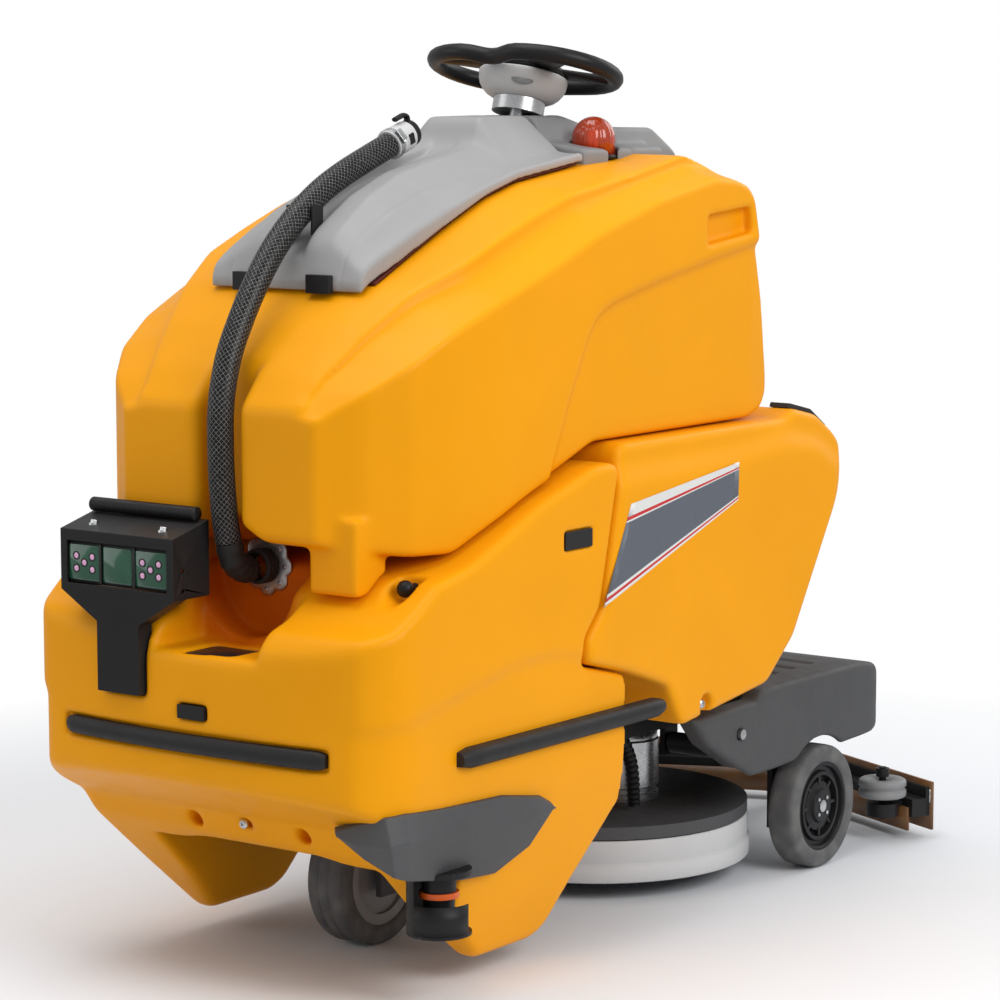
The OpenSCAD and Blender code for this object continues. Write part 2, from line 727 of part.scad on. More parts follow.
module brush_disc() color(dark)
    translate([0, deck_y, 0]) difference() {
        union() {
            translate([0, 0, brush_z + 40]) cylinder(r = 225, h = 14);
            translate([0, 0, brush_z + 54]) cylinder(r = 29, h = 34);
        }
        translate([0, 0, 0]) cylinder(r = 20, h = brush_z + 60);
    }
module brush_bristles() color("#2c3a52")
    translate([0, deck_y, brush_z]) difference() {
        cylinder(r = 232, h = 40);
        translate([0, 0, -1]) cylinder(r = 120, h = 42);
    }

// ---- Squeegee ----

curve_r = 200;
curve_y = squeegee_reach - curve_r;
wing_len = (squeegee_hw - curve_r * sin(squeegee_sweep)) / cos(squeegee_sweep);
// Sweeps a 2D outline along the squeegee: x is distance in front of (-) its rear line, y is height
module along_squeegee(shorter = 0) {
    translate([0, curve_y, 0]) {
        rotate(90 - squeegee_sweep) rotate_extrude(angle = 2 * squeegee_sweep, $fn = 180)
            translate([curve_r, 0]) children();
        both_sides() rotate(90 - squeegee_sweep) translate([curve_r, 0, 0]) rotate([90, 0, 0])
            linear_extrude(wing_len - shorter) children();
    }
}
blade_z = squeegee_lift_z;
swivel_y = 745;
module squeegee_blades() color(amber) {
    along_squeegee() translate([-5, blade_z]) square([5, 82]);
    along_squeegee(14) translate([-45, blade_z]) square([5, 40]);
}
module squeegee_body() color(black) {
    along_squeegee(6) {
        polygon([[-40, blade_z + 24], [-5, blade_z + 24], [-5, blade_z + 72], [-12, blade_z + 72],
            [-12, blade_z + 54], [-40, blade_z + 54]]);
    }
    difference() {
        union() {
            translate([0, swivel_y, blade_z + 50]) cylinder(r = 34, h = 14);
            block([-24, swivel_y + 20, blade_z + 46], [24, squeegee_reach - 30, blade_z + 62]);
        }
        translate([0, swivel_y, 0]) cylinder(r = 12 + fit, h = 200);
    }
    both_sides() at_roller() {
        translate([0, 0, blade_z + 20]) cylinder(r = 6, h = 88);
        translate([0, 0, blade_z + 26]) cylinder(r = 27, h = 22);
        translate([0, 0, blade_z + 92]) cylinder(r = 11, h = 14);
        translate([-9, 0, blade_z + 40]) cube([18, 46, 7]);
    }
}
// Places the children on a bumper roller's axis at the left end
module at_roller()
    translate([0, curve_y, 0]) rotate(90 - squeegee_sweep) translate([curve_r, 0, 0]) rotate([90, 0, 0])
        translate([0, 0, wing_len - 42]) rotate([-90, 0, 0]) rotate(-90) translate([0, -76, 0]) children();
module roller()
    at_roller() difference() {
        translate([0, 0, blade_z + 58]) cylinder(r = 40, h = 30);
        translate([0, 0, 0]) cylinder(r = 6 + fit, h = 200);
    }
module left_roller() color(grey) roller();
module right_roller() color(grey) mirror([1, 0, 0]) roller();
module squeegee_arm() color(dark) {
    difference() {
        union() {
            x_rod(18, -48, 48, lift_pin_y, lift_pin_z);
            hull() {
                block([-30, lift_pin_y + 6, lift_pin_z - 16], [30, lift_pin_y + 14, lift_pin_z + 12]);
                block([-30, swivel_y - 20, blade_z + 66], [30, swivel_y, blade_z + 80]);
            }
            translate([0, swivel_y, blade_z + 66]) cylinder(r = 30, h = 14);
        }
        x_rod(pin_r + fit, -60, 60, lift_pin_y, lift_pin_z);
    }
    translate([0, swivel_y, blade_z + 46]) cylinder(r = 12, h = 22);
}

// ---- Front sensor head ----

head_x = [-222, -12];
post_x = [-155, -77];
head_y = -742;
module sensor_bracket() color(black) difference() {
    union() {
        translate([(head_x[0] + head_x[1]) / 2, 0, 0])
            side_prism((head_x[1] - head_x[0]) / 2) polygon([[-front_reach, 560], [-front_reach, 646],
                [head_y, 666], [head_y, 560]]);
        // funnel and post
        front_prism(-front_reach, -front_reach + 28)
            polygon([[head_x[0], 560], [post_x[0], 520], [post_x[0], 422], [post_x[1], 422],
                [post_x[1], 520], [head_x[1], 560]]);
    }
    block([head_x[0] + 4, -front_reach + 4, 564], [head_x[1] - 4, head_y + 1, 640]);
    block([head_x[0] + 12, -front_reach - 1, 570], [head_x[1] - 12, -front_reach + 5, 630]);
    // fixing holes for accessories
    for (z = [572, 600]) x_rod(3, head_x[1] - 10, head_x[1] + 5, -797, z);
}
module sensor_window() color("#1f5a3c") {
    block([head_x[0] + 12.5, -front_reach + 1, 570.5], [head_x[1] - 12.5, -front_reach + 16, 629.5]);
}
module sensor_bar() color(black)
    x_rod(10, head_x[0] + 4, head_x[1] - 10, head_y - 12, 674);

// ---- Corner scanner ----

module guard_plan(front, side, x0, y1, round)
    intersection() {
        offset(r = round) offset(delta = -round) translate([-side, front]) square([2 * side, 800]);
        polygon([[x0, front - 10], [side + 10, front - 10], [side + 10, y1], [side - 24, y1 - 30],
            [x0 + 60, front + 90]]);
    }
module scanner_guard() color(dark) difference() {
    hull() {
        translate([0, 0, 252]) linear_extrude(10) guard_plan(-726, 340, 196, -384, 70);
        translate([0, 0, 232]) linear_extrude(10) guard_plan(-734, 338, 200, -390, 66);
        translate([0, 0, 192]) linear_extrude(10) guard_plan(-716, 322, 250, -450, 60);
    }
    fairing_solid(0);
    translate(scanner_pos) cylinder(r = 46, h = 198);
}
module scanner_bracket() color(black)
    translate(scanner_pos) difference() {
        translate([0, 0, 104]) cylinder(r = 45.5, h = 92);
        translate([0, 0, 108]) cylinder(r = 41, h = 80);
        block([-10, -60, 108], [60, 60, 188]);
    }
module scanner_unit() color(black)
    translate(scanner_pos) {
        translate([0, 0, 164]) cylinder(r = 24, h = 24);
        translate([0, 0, 108]) cylinder(r = 22, h = 48);
    }
module scanner_ring() color(signal)
    translate(scanner_pos + [0, 0, 156]) cylinder(r = 28, h = 8);

chassis_frame();
battery_pack();
solution_tank();
fill_cap();
front_fairing();
front_bumper_strip();
side_bumper_strips();
corner_guards();
recovery_tank();
tank_latch_knob();
vacuum_motor();
steering_console();
dash_panel();
stop_button();
key_switch();
lid_hinge_pin();
beacon_base();
beacon_dome();
drain_flange();
drain_collar();
sensor_bracket();
sensor_window();
sensor_bar();
proximity_windows();
scanner_guard();
scanner_bracket();
scanner_unit();
scanner_ring();
platform();
axle_brackets();
body_screws();
lid();
lid_seal();
hose_clip();
lid_latches();
drain_hose();
hose_cuff();
drain_plug();
steering_wheel();
steering_hub();
steering_shaft();
steer_bearing();
drive_fork();
drive_motor();
drive_hub();
drive_tyre();
left_rear_wheel();
left_rear_tyre();
right_rear_wheel();
right_rear_tyre();
deck_housing();
deck_skirt();
brush_motor();
brush_disc();
brush_bristles();
squeegee_arm();
squeegee_body();
squeegee_blades();
left_roller();
right_roller();
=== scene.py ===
import math

import bpy
import numpy as np
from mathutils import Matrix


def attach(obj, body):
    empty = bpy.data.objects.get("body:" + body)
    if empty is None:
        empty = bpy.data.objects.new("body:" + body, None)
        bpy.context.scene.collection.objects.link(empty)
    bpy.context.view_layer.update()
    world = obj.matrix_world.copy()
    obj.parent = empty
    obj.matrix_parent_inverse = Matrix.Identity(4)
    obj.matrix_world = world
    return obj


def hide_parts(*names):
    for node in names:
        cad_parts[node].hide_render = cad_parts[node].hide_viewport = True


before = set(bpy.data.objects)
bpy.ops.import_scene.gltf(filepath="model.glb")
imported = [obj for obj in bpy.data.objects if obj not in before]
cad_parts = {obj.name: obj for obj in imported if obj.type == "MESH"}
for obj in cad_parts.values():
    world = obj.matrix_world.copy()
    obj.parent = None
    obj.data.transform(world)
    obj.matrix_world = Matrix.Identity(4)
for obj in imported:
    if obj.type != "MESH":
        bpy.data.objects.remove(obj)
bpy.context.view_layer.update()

import openvdb
from mathutils import Matrix, Vector

# Lengths are in millimetres and turn into metres where a mesh is made.
MM = 0.001

# Driving dimensions, the same as the CAD's: HW is half a width, R a radius, and OFF is further
# than any piece reaches.
BODY_HW = 330.0
TANK_HW = 300.0
FRONT_Y = -812.0
STRIP_REACH = 6.0
BOW_R = (234.0 ** 2 + 16.0 ** 2) / (2 * 16.0)
CORNER_R = 115.0
DRAIN_X = 14.0
DRAIN_Z = 580.0
DRAIN_R = 84.0
DRAIN_BACK_Y = -646.0
KNOB_X = 268.0
KNOB_Z = 584.0
KNOB_POCKET_R = 21.0
KNOB_REAR_Y = -640.0
FORK_HW = 206.0
HINGE_Y = -88.0
HINGE_Z = 1200.0
LUG_X = (-35.0, 35.0)
OFF = 1000.0
COLUMN = Vector((0.0, -34.0, 1214.0))
STEER_TILT = math.radians(16.0)
DASH = Vector((0.0, 206.0, 1173.9))
DASH_TILT = math.radians(37.0)
BEACON = Vector((112.0, 10.0, 1150.0))
SCANNER = Vector((300.0, -628.0, 0.0))
HEAD_X = (-222.0, -12.0)
HEAD_FRONT = -818.0
HEAD_REAR = -742.0
DECK_Y = 183.0
REAR_AXLE = Vector((0.0, 395.0, 100.0))
DRIVE_AXLE = Vector((0.0, -410.0, 105.0))
SWEEP = math.radians(25.0)
CURVE_R = 200.0
CURVE_Y = 618.0
WING = (352.0 - CURVE_R * math.sin(SWEEP)) / math.cos(SWEEP)


# ---- Camera ----

def make_camera():
    """The camera stands where the photograph's camera stood."""
    data = bpy.data.cameras.new("camera")
    data.sensor_width = 36.0
    data.lens = 120.47
    camera = bpy.data.objects.new("camera", data)
    camera.location = (3.0292, -4.2019, 1.2778)
    camera.rotation_euler = (math.radians(82.739), 0.0, math.radians(36.299))
    bpy.context.collection.objects.link(camera)
    bpy.context.scene.camera = camera


make_camera()


# ---- Materials ----

class Nodes:
    """A small helper that adds and joins shader nodes of one material."""

    def __init__(self, name):
        self.material = bpy.data.materials.new(name)
        self.material.use_nodes = True
        self.tree = self.material.node_tree
        self.shader = self.tree.nodes["Principled BSDF"]
        self.coords = self.tree.nodes.new("ShaderNodeTexCoord")

    def add(self, kind, inputs=None, **settings):
        node = self.tree.nodes.new("ShaderNode" + kind)
        for key, value in settings.items():
            setattr(node, key, value)
        for key, value in (inputs or {}).items():
            if isinstance(value, bpy.types.NodeSocket):
                self.tree.links.new(value, node.inputs[key])
            else:
                node.inputs[key].default_value = value
        return node

    def noise(self, scale, detail=3.0, stretch=(1.0, 1.0, 1.0)):
        """Noise whose scale is in cycles per metre."""
        place = self.add("Mapping", {"Vector": self.coords.outputs["Object"], "Scale": stretch})
        vector = place.outputs["Vector"]
        return self.add("TexNoise", {"Vector": vector, "Scale": scale, "Detail": detail}).outputs["Fac"]

    def span(self, value, low, high, start=0.0, end=1.0):
        """value from low to high, mapped to start to end and held there."""
        inputs = {"Value": value, "From Min": low, "From Max": high, "To Min": start, "To Max": end}
        return self.add("MapRange", inputs).outputs["Result"]

    def mix(self, share, first, second):
        node = self.add("Mix", data_type="RGBA")
        for index, value in ((0, share), (6, first), (7, second)):
            if isinstance(value, bpy.types.NodeSocket):
                self.tree.links.new(value, node.inputs[index])
            else:
                node.inputs[index].default_value = value
        return node.outputs[2]

    def math(self, operation, first, second=0.0):
        return self.add("Math", {0: first, 1: second}, operation=operation).outputs[0]

    def link(self, socket, name):
        self.tree.links.new(socket, self.shader.inputs[name])

    def set(self, **values):
        for key, value in values.items():
            self.shader.inputs[key.replace("_", " ")].default_value = value

    def bump(self, height, depth_mm, under=None):
        """Bump of that depth; under is a coarser bump below it."""
        inputs = {"Height": height, "Distance": depth_mm * MM, "Strength": 1.0}
        if under is not None:
            inputs["Normal"] = under
        return self.add("Bump", inputs).outputs["Normal"]


def rgba(colour, gain=1.0):
    """The colour made lighter or darker, with full alpha."""
    return (colour[0] * gain, colour[1] * gain, colour[2] * gain, 1.0)


def moulded(name, colour, rough, grain=700.0, depth=0.12, mottle=0.08, wear=0.0, coat=0.0, shine=0.22,
            painted_recess_shade=None):
    """Moulded plastic or rubber: fine grain, slow changes of tone, dull and bright patches, worn edges, and
    painted shade in one recess if given.

    The last argument is (centre, near, far, colour) of a recess darkened with painted shade: the shade colour
    covers it within near of the centre and fades out by far, in metres.
    """
    n = Nodes(name)
    slow = n.noise(5.0, 4.0)
    fine = n.noise(grain, 2.0)
    tone = n.span(n.math("ADD", slow, n.math("MULTIPLY", fine, 0.35)), 0.45, 0.85)
    base = n.mix(tone, rgba(colour, 1.0 - mottle), rgba(colour, 1.0 + mottle))
    if wear > 0.0:
        edge = n.add("NewGeometry").outputs["Pointiness"]
        worn = n.span(edge, 0.53, 0.60, 0.0, wear)
        pale = tuple(min(1.0, c * 1.25 + 0.03) for c in colour)
        base = n.mix(worn, base, rgba(pale))
    # Painted shade: the colour darkens towards the recess's centre.
    if painted_recess_shade is not None:
        centre, near, far, shade = painted_recess_shade
        gap = n.add("VectorMath", {0: n.coords.outputs["Object"], 1: centre}, operation="DISTANCE")
        base = n.mix(n.span(gap.outputs["Value"], near, far, 0.85, 0.0), base, rgba(shade))
    n.link(base, "Base Color")
    n.link(n.span(n.noise(40.0, 3.0), 0.3, 0.7, rough - 0.05, rough + 0.07), "Roughness")
    wave = n.bump(n.noise(14.0, 2.0), 0.35)
    n.link(n.bump(fine, depth, wave), "Normal")
    n.set(Coat_Weight=coat, Coat_Roughness=0.25, Specular_IOR_Level=shine)
    return n.material


def metal(name, colour, rough, stretch=(1.0, 1.0, 14.0), scale=160.0, scratch=0.04):
    """Bare or plated metal with brushing marks and a few stains."""
    n = Nodes(name)
    brush = n.noise(scale, 4.0, stretch)
    stain = n.noise(25.0, 5.0)
    n.link(n.mix(n.span(stain, 0.35, 0.75), rgba(colour), rgba(colour, 0.72)), "Base Color")
    n.link(n.span(brush, 0.3, 0.7, rough - 0.08, rough + 0.12), "Roughness")
    n.link(n.bump(brush, scratch), "Normal")
    n.set(Metallic=1.0)
    return n.material


def braided_hose():
    """A black hose with a fine pale net wound round it both ways."""
    n = Nodes("braided_hose")
    split = n.add("SeparateXYZ", {"Vector": n.coords.outputs["UV"]})
    turns = split.outputs["X"]
    along = split.outputs["Y"]
    strands = 16.0

    def strand(value):
        part = n.math("FRACT", n.math("MULTIPLY", value, strands))
        return n.math("ABSOLUTE", n.math("SUBTRACT", part, 0.5))

    first = strand(n.math("ADD", turns, along))
    second = strand(n.math("SUBTRACT", turns, along))
    near = n.math("MINIMUM", first, second)
    net = n.span(near, 0.02, 0.05, 1.0, 0.0)
    broken = n.span(n.noise(900.0, 2.0), 0.38, 0.5)
    share = n.math("MULTIPLY", net, broken)
    n.link(n.mix(share, (0.007, 0.007, 0.008, 1.0), (0.5, 0.5, 0.48, 1.0)), "Base Color")
    n.link(n.span(share, 0.0, 1.0, 0.32, 0.55), "Roughness")
    n.link(n.bump(net, 0.5), "Normal")
    n.set(Specular_IOR_Level=0.2)
    return n.material


def tread_rubber():
    """Grey tyre rubber with fine cross lines, scuffs and dust."""
    n = Nodes("grey_tyre")
    lines = n.add("TexWave", {"Vector": n.coords.outputs["Object"], "Scale": 90.0, "Distortion": 0.6},
        bands_direction="X").outputs["Fac"]
    dust = n.span(n.noise(30.0, 6.0), 0.42, 0.72)
    n.link(n.mix(dust, (0.085, 0.085, 0.088, 1.0), (0.15, 0.148, 0.142, 1.0)), "Base Color")
    n.link(n.span(n.noise(120.0), 0.3, 0.7, 0.62, 0.85), "Roughness")
    n.link(n.bump(n.noise(900.0), 0.15, n.bump(lines, 0.25)), "Normal")
    return n.material


def lens(name, colour, glow=0.0, rough=0.12):
    """Clear coloured plastic, lit a little from inside."""
    n = Nodes(name)
    n.link(n.mix(n.span(n.noise(35.0, 3.0), 0.3, 0.7), rgba(colour), rgba(colour, 0.8)), "Base Color")
    n.link(n.span(n.noise(300.0), 0.3, 0.7, rough, rough + 0.08), "Roughness")
    n.link(n.bump(n.noise(500.0), 0.05), "Normal")
    n.set(Transmission_Weight=0.45, IOR=1.46, Coat_Weight=0.6, Coat_Roughness=0.08)
    if glow > 0.0:
        n.set(Emission_Color=rgba(colour), Emission_Strength=glow)
    return n.material


def amber_blade():
    """Translucent amber squeegee rubber."""
    n = Nodes("amber_rubber")
    n.link(n.mix(n.span(n.noise(20.0, 4.0), 0.3, 0.7), (0.22, 0.10, 0.03, 1.0), (0.14, 0.065, 0.022, 1.0)),
        "Base Color")
    n.link(n.span(n.noise(200.0), 0.3, 0.7, 0.35, 0.5), "Roughness")
    n.link(n.bump(n.noise(400.0), 0.1), "Normal")
    n.set(Subsurface_Weight=0.4, Subsurface_Scale=0.01, Transmission_Weight=0.15)
    return n.material


# Name, colour, roughness, grain in cycles per metre and its depth in mm, mottle, wear, coat; the yellow also
# gives shine and a painted shade in the drain bay, a darker orange near its centre
YELLOW = moulded("yellow_plastic", (0.86, 0.345, 0.003), 0.38, 620.0, 0.10, 0.03, 0.25, 0.0, 0.12,
    ((0.014, -0.655, 0.56), 0.085, 0.12, (0.66, 0.10, 0.002)))
GREY = moulded("grey_plastic", (0.23, 0.232, 0.235), 0.42, 560.0, 0.12, 0.04, 0.3)
LID_GREY = moulded("grey_plastic_lid", (0.33, 0.328, 0.33), 0.40, 560.0, 0.12, 0.04, 0.35)
DARK = moulded("dark_plastic", (0.075, 0.076, 0.079), 0.55, 260.0, 0.45, 0.10, 0.35)
BLACK = moulded("black_plastic", (0.011, 0.011, 0.012), 0.38, 500.0, 0.12, 0.10, 0.4)
LIGHT = moulded("light_plastic", (0.56, 0.562, 0.565), 0.42, 420.0, 0.12, 0.05, 0.3)
RED = moulded("red_plastic", (0.55, 0.02, 0.02), 0.28, 300.0, 0.04, 0.04, 0.2, 0.5)
BRISTLE = moulded("brush_plastic", (0.03, 0.05, 0.09), 0.5, 300.0, 0.2, 0.2)
RUBBER = moulded("rubber", (0.018, 0.018, 0.018), 0.55, 380.0, 0.2, 0.12, 0.3)
BUMPER = moulded("bumper_rubber", (0.02, 0.02, 0.021), 0.48, 420.0, 0.15, 0.10, 0.4)
PAINT = moulded("black_paint", (0.012, 0.012, 0.013), 0.42, 900.0, 0.08, 0.10, 0.5)
DARK_PAINT = moulded("dark_paint", (0.05, 0.05, 0.054), 0.45, 900.0, 0.08, 0.10, 0.5)
RING = moulded("orange_ring", (0.72, 0.11, 0.01), 0.35, 400.0, 0.06, 0.05, 0.3, 0.3)
SEAL = moulded("seal_rubber", (0.10, 0.02, 0.015), 0.6, 380.0, 0.15, 0.10)
STEEL = metal("steel", (0.62, 0.63, 0.64), 0.28)
CAST = metal("cast_alloy", (0.50, 0.50, 0.51), 0.42, (1.0, 1.0, 1.0), 240.0, 0.12)
HOSE = braided_hose()
TYRE = tread_rubber()
BEACON_LENS = lens("orange_lens", (0.62, 0.07, 0.012), 0.03)
GREEN_LENS = lens("green_window", (0.02, 0.14, 0.075), 0.03, 0.1)
LED = lens("led", (0.75, 0.40, 0.62), 0.35)
AMBER = amber_blade()
DECAL_FIELD = moulded("decal_field", (0.10, 0.115, 0.14), 0.3, 500.0, 0.03, 0.05, 0.0, 0.4)
DECAL_WHITE = moulded("decal_white", (0.72, 0.72, 0.70), 0.3, 500.0, 0.03, 0.03, 0.0, 0.4)
DECAL_RED = moulded("decal_red", (0.55, 0.02, 0.025), 0.3, 500.0, 0.03, 0.04, 0.0, 0.4)


# ---- Pieces ----

def finish_piece(name, mesh, body, material, replaces=(), bevel=0.0):
    """Makes the mesh a shown piece on a body, with its material."""
    piece = bpy.data.objects.new(name, mesh)
    bpy.context.collection.objects.link(piece)
    materials = material if isinstance(material, (list, tuple)) else [material]
    for entry in materials:
        mesh.materials.append(entry)
    mesh.polygons.foreach_set("use_smooth", [True] * len(mesh.polygons))
    if bevel > 0.0:
        add_bevel(piece, bevel)
    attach(piece, body)
    if replaces:
        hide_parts(*replaces)
    return piece


def add_bevel(piece, width):
    """Rounds the sharp edges and evens the shading."""
    weld = piece.modifiers.new("weld", "WELD")
    weld.merge_threshold = 0.00002
    bevel = piece.modifiers.new("bevel", "BEVEL")
    bevel.width = width * MM
    bevel.segments = 2
    bevel.limit_method = "ANGLE"
    bevel.angle_limit = math.radians(32.0)
    normals = piece.modifiers.new("normals", "WEIGHTED_NORMAL")
    normals.keep_sharp = True


class Shape:
    """Points and faces of one piece, gathered from simple parts."""

    def __init__(self):
        self.points = []
        self.faces = []
        self.marks = []

    def add(self, points, faces, place=None, mark=0):
        start = len(self.points)
        for point in points:
            vector = Vector(point)
            self.points.append(place @ vector if place is not None else vector)
        for face in faces:
            self.faces.append([index + start for index in face])
            self.marks.append(mark)
        return self

    def turn(self, profile, segments, place=None, closed=True):
        """Adds a profile turned round the place's Z axis."""
        return self.add(*revolve(profile, segments, closed), place)

    def plate(self, outline, levels, place):
        """Adds a rounded rectangle (half width, half height, corner) from low to high, its edges eased."""
        return self.add(*slab(rounded_rectangle(*outline), *levels), place)

    def piece(self, name, body, material, replaces=(), slot=None, bevel=0.0):
        mesh = bpy.data.meshes.new(name)
        mesh.from_pydata([tuple(p * MM) for p in self.points], [], self.faces)
        mesh.polygons.foreach_set("material_index", self.marks)
        mesh.validate()
        return finish_piece(name, mesh, body, material, replaces, bevel)


def rings_to_faces(count, sides, closed=False):
    """Faces between rings of points, with flat ends unless the row of rings is closed."""
    faces = []
    last = count if closed else count - 1
    for ring in range(last):
        for side in range(sides):
            a = ring * sides + side
            b = ring * sides + (side + 1) % sides
            c = ((ring + 1) % count) * sides + (side + 1) % sides
            d = ((ring + 1) % count) * sides + side
            faces.append([a, b, c, d])
    if not closed:
        faces.append(list(range(sides))[::-1])
        faces.append([(count - 1) * sides + side for side in range(sides)])
    return faces


def shift(x, y, z):
    """Moves a shape by so many millimetres."""
    return Matrix.Translation((x, y, z))


def spin(angle, axis):
    """Turns a shape by so many radians about an axis through the origin."""
    return Matrix.Rotation(angle, 4, axis)


def turns(count):
    """Angles spaced evenly round a full circle."""
    return [2 * math.pi * step / count for step in range(count)]


def revolve(profile, segments=64, closed=True):
    """Turns a profile of (radius, height) round Z; an open one starts and ends on the axis."""
    points = []
    for turn in turns(segments):
        for radius, height in profile:
            points.append((radius * math.cos(turn), radius * math.sin(turn), height))
    count = len(profile)
    faces = []
    for step in range(segments):
        near = step * count
        far = (step + 1) % segments * count
        for index in range(count if closed else count - 1):
            after = (index + 1) % count
            faces.append([near + index, far + index, far + after, near + after])
    return points, faces


def along_x(centre, x=0.0):
    """Places a shape turned round Z on an axis along X."""
    return shift(x, centre.y, centre.z) @ spin(math.pi / 2, "Y")


def at_column():
    """Places a shape on the steering column, its +Z up the column."""
    return Matrix.Translation(COLUMN) @ spin(-STEER_TILT, "X")


def at_dash():
    """Places a shape on the dash, its +Z out of the face."""
    return Matrix.Translation(DASH) @ spin(-DASH_TILT, "X")


def tube(path, radius, sides=16, closed=False, flat=1.0):
    """A round tube along a path; flat squeezes it across."""
    path = [Vector(p) for p in path]
    count = len(path)
    points = []
    normal = None
    for index, point in enumerate(path):
        before = path[(index - 1) % count] if closed else path[max(index - 1, 0)]
        after = path[(index + 1) % count] if closed else path[min(index + 1, count - 1)]
        heading = (after - before).normalized()
        if normal is None:
            guess = Vector((1, 0, 0)) if abs(heading.x) < 0.9 else Vector((0, 0, 1))
            normal = heading.cross(guess).normalized()
        normal = (normal - heading * normal.dot(heading)).normalized()
        side = heading.cross(normal)
        size = radius[index] if isinstance(radius, (list, tuple)) else radius
        for turn in turns(sides):
            points.append(point + size * (math.cos(turn) * normal + flat * math.sin(turn) * side))
    return points, rings_to_faces(count, sides, closed)


def slab(outline, low, high, round_by=0.0):
    """A prism between two heights with softened top and bottom edges."""
    middle = Vector((sum(p[0] for p in outline) / len(outline), sum(p[1] for p in outline) / len(outline)))
    size = max((Vector(p) - middle).length for p in outline)
    levels = [(low, round_by), (low + round_by, 0.0), (high - round_by, 0.0), (high, round_by)]
    if round_by == 0.0:
        levels = [(low, 0.0), (high, 0.0)]
    points = []
    for height, pull in levels:
        share = 1.0 - pull / size
        for x, y in outline:
            points.append((middle.x + (x - middle.x) * share, middle.y + (y - middle.y) * share, height))
    return points, rings_to_faces(len(levels), len(outline))


def rounded_rectangle(half_w, half_h, radius, steps=5):
    """The outline of a rectangle about the origin with round corners."""
    outline = []
    for quarter in range(4):
        cx = (half_w - radius) * (1, -1, -1, 1)[quarter]
        cy = (half_h - radius) * (1, 1, -1, -1)[quarter]
        for step in range(steps + 1):
            turn = math.pi / 2 * (quarter + step / steps)
            outline.append((cx + radius * math.cos(turn), cy + radius * math.sin(turn)))
    return outline


def ball(radius, segments=24, rings=12, squash=1.0):
    """A ball about the origin, its height times squash."""
    profile = []
    for ring in range(rings + 1):
        turn = -math.pi / 2 + math.pi * ring / rings
        profile.append((max(radius * math.cos(turn), 0.001), radius * squash * math.sin(turn)))
    return revolve(profile, segments, closed=False)


# ---- Moulded shells, made as signed distance fields ----

class Field:
    """A grid of points on which a solid is described by its signed distance, negative inside."""

    def __init__(self, low, high, step):
        margin = 4 * step
        axes = [np.arange(a - margin, b + margin + step, step, dtype=np.float32) for a, b in zip(low, high)]
        self.step = step
        self.low = [float(axis[0]) for axis in axes]
        self.x = axes[0][:, None, None]
        self.y = axes[1][None, :, None]
        self.z = axes[2][None, None, :]
        self.side = np.abs(self.x)
        self.shape = tuple(len(axis) for axis in axes)

    def along(self, stations, values, reach=26.0):
        """Values given at stations along Y, joined and evened out over the reach."""
        fine = np.arange(float(self.y.min()) - 2 * reach, float(self.y.max()) + 2 * reach, 4.0)
        window = max(int(reach / 4.0), 1)
        kernel = np.ones(window) / window
        line = np.convolve(np.pad(np.interp(fine, stations, values), window, "edge"), kernel, "same")
        return np.interp(self.y.ravel(), fine, line[window:-window]).astype(np.float32)[None, :, None]


def whole(field, f):
    """The field on every point of the grid, as an array of its own."""
    return np.array(np.broadcast_to(field, f.shape))


def every(*fields):
    """What is in all the solids, with sharp edges."""
    result = fields[0]
    for field in fields[1:]:
        result = np.maximum(result, field)
    return result


def hold(a, b, radius=0.0):
    """What is in both solids, its edge rounded by radius."""
    if radius <= 0.0:
        return np.maximum(a, b)
    corner = np.hypot(np.maximum(a + radius, 0.0), np.maximum(b + radius, 0.0))
    return np.minimum(np.maximum(a, b), -radius) + corner


def cut(a, b, radius=0.0):
    """The first solid without the second."""
    return hold(a, -b, radius)


def join(a, b, radius=0.0):
    """Both solids together, the inner corner filled by radius."""
    return -hold(-a, -b, radius)


def box_field(f, low, high):
    """A box between two corners."""
    return every(low[0] - f.x, f.x - high[0], low[1] - f.y, f.y - high[1], low[2] - f.z, f.z - high[2])


def outline_field(p, q, outline):
    """Signed distance to a closed outline, for arrays of its two coordinates."""
    distance = np.full(np.broadcast(p, q).shape, 1e9, np.float32)
    sign = np.ones_like(distance)
    for index in range(len(outline)):
        ax, ay = outline[index]
        bx, by = outline[index - 1]
        ex = bx - ax
        ey = by - ay
        wx = p - ax
        wy = q - ay
        share = np.clip((wx * ex + wy * ey) / (ex * ex + ey * ey), 0.0, 1.0)
        distance = np.minimum(distance, (wx - ex * share) ** 2 + (wy - ey * share) ** 2)
        above = q >= ay
        below = q < by
        left = ex * wy > ey * wx
        crossed = (above & below & left) | (~above & ~below & ~left)
        sign = np.where(crossed, -sign, sign)
    return sign * np.sqrt(distance)


def eased(outline, reach, spacing=8.0):
    """The outline with its corners rounded over about the reach."""
    dense = []
    for index in range(len(outline)):
        a = Vector(outline[index - 1])
        b = Vector(outline[index])
        steps = max(int((b - a).length / spacing), 1)
        dense += [a.lerp(b, step / steps) for step in range(steps)]
    half = max(int(reach / spacing / 2), 1)
    count = len(dense)
    result = []
    for index in range(count):
        near = [dense[(index + offset) % count] for offset in range(-half, half + 1)]
        middle = sum(near, Vector((0, 0))) / len(near)
        result.append((middle.x, middle.y))
    return result


def side_outline(f, outline, reach, spacing=8.0):
    """An eased outline seen from the side, as a field."""
    return outline_field(f.y, f.z, eased(outline, reach, spacing))


def soften(field, passes):
    """Rounds every edge a little by averaging the field with its neighbours."""
    for _ in range(passes):
        for axis in range(3):
            view = np.moveaxis(field, axis, 0)
            view[1:-1] = 0.25 * view[:-2] + 0.5 * view[1:-1] + 0.25 * view[2:]
    return field


def step_in(distance, width):
    """0 outside, 1 inside, changing smoothly over the width."""
    share = np.clip(0.5 - distance / width, 0.0, 1.0)
    return share * share * (3.0 - 2.0 * share)


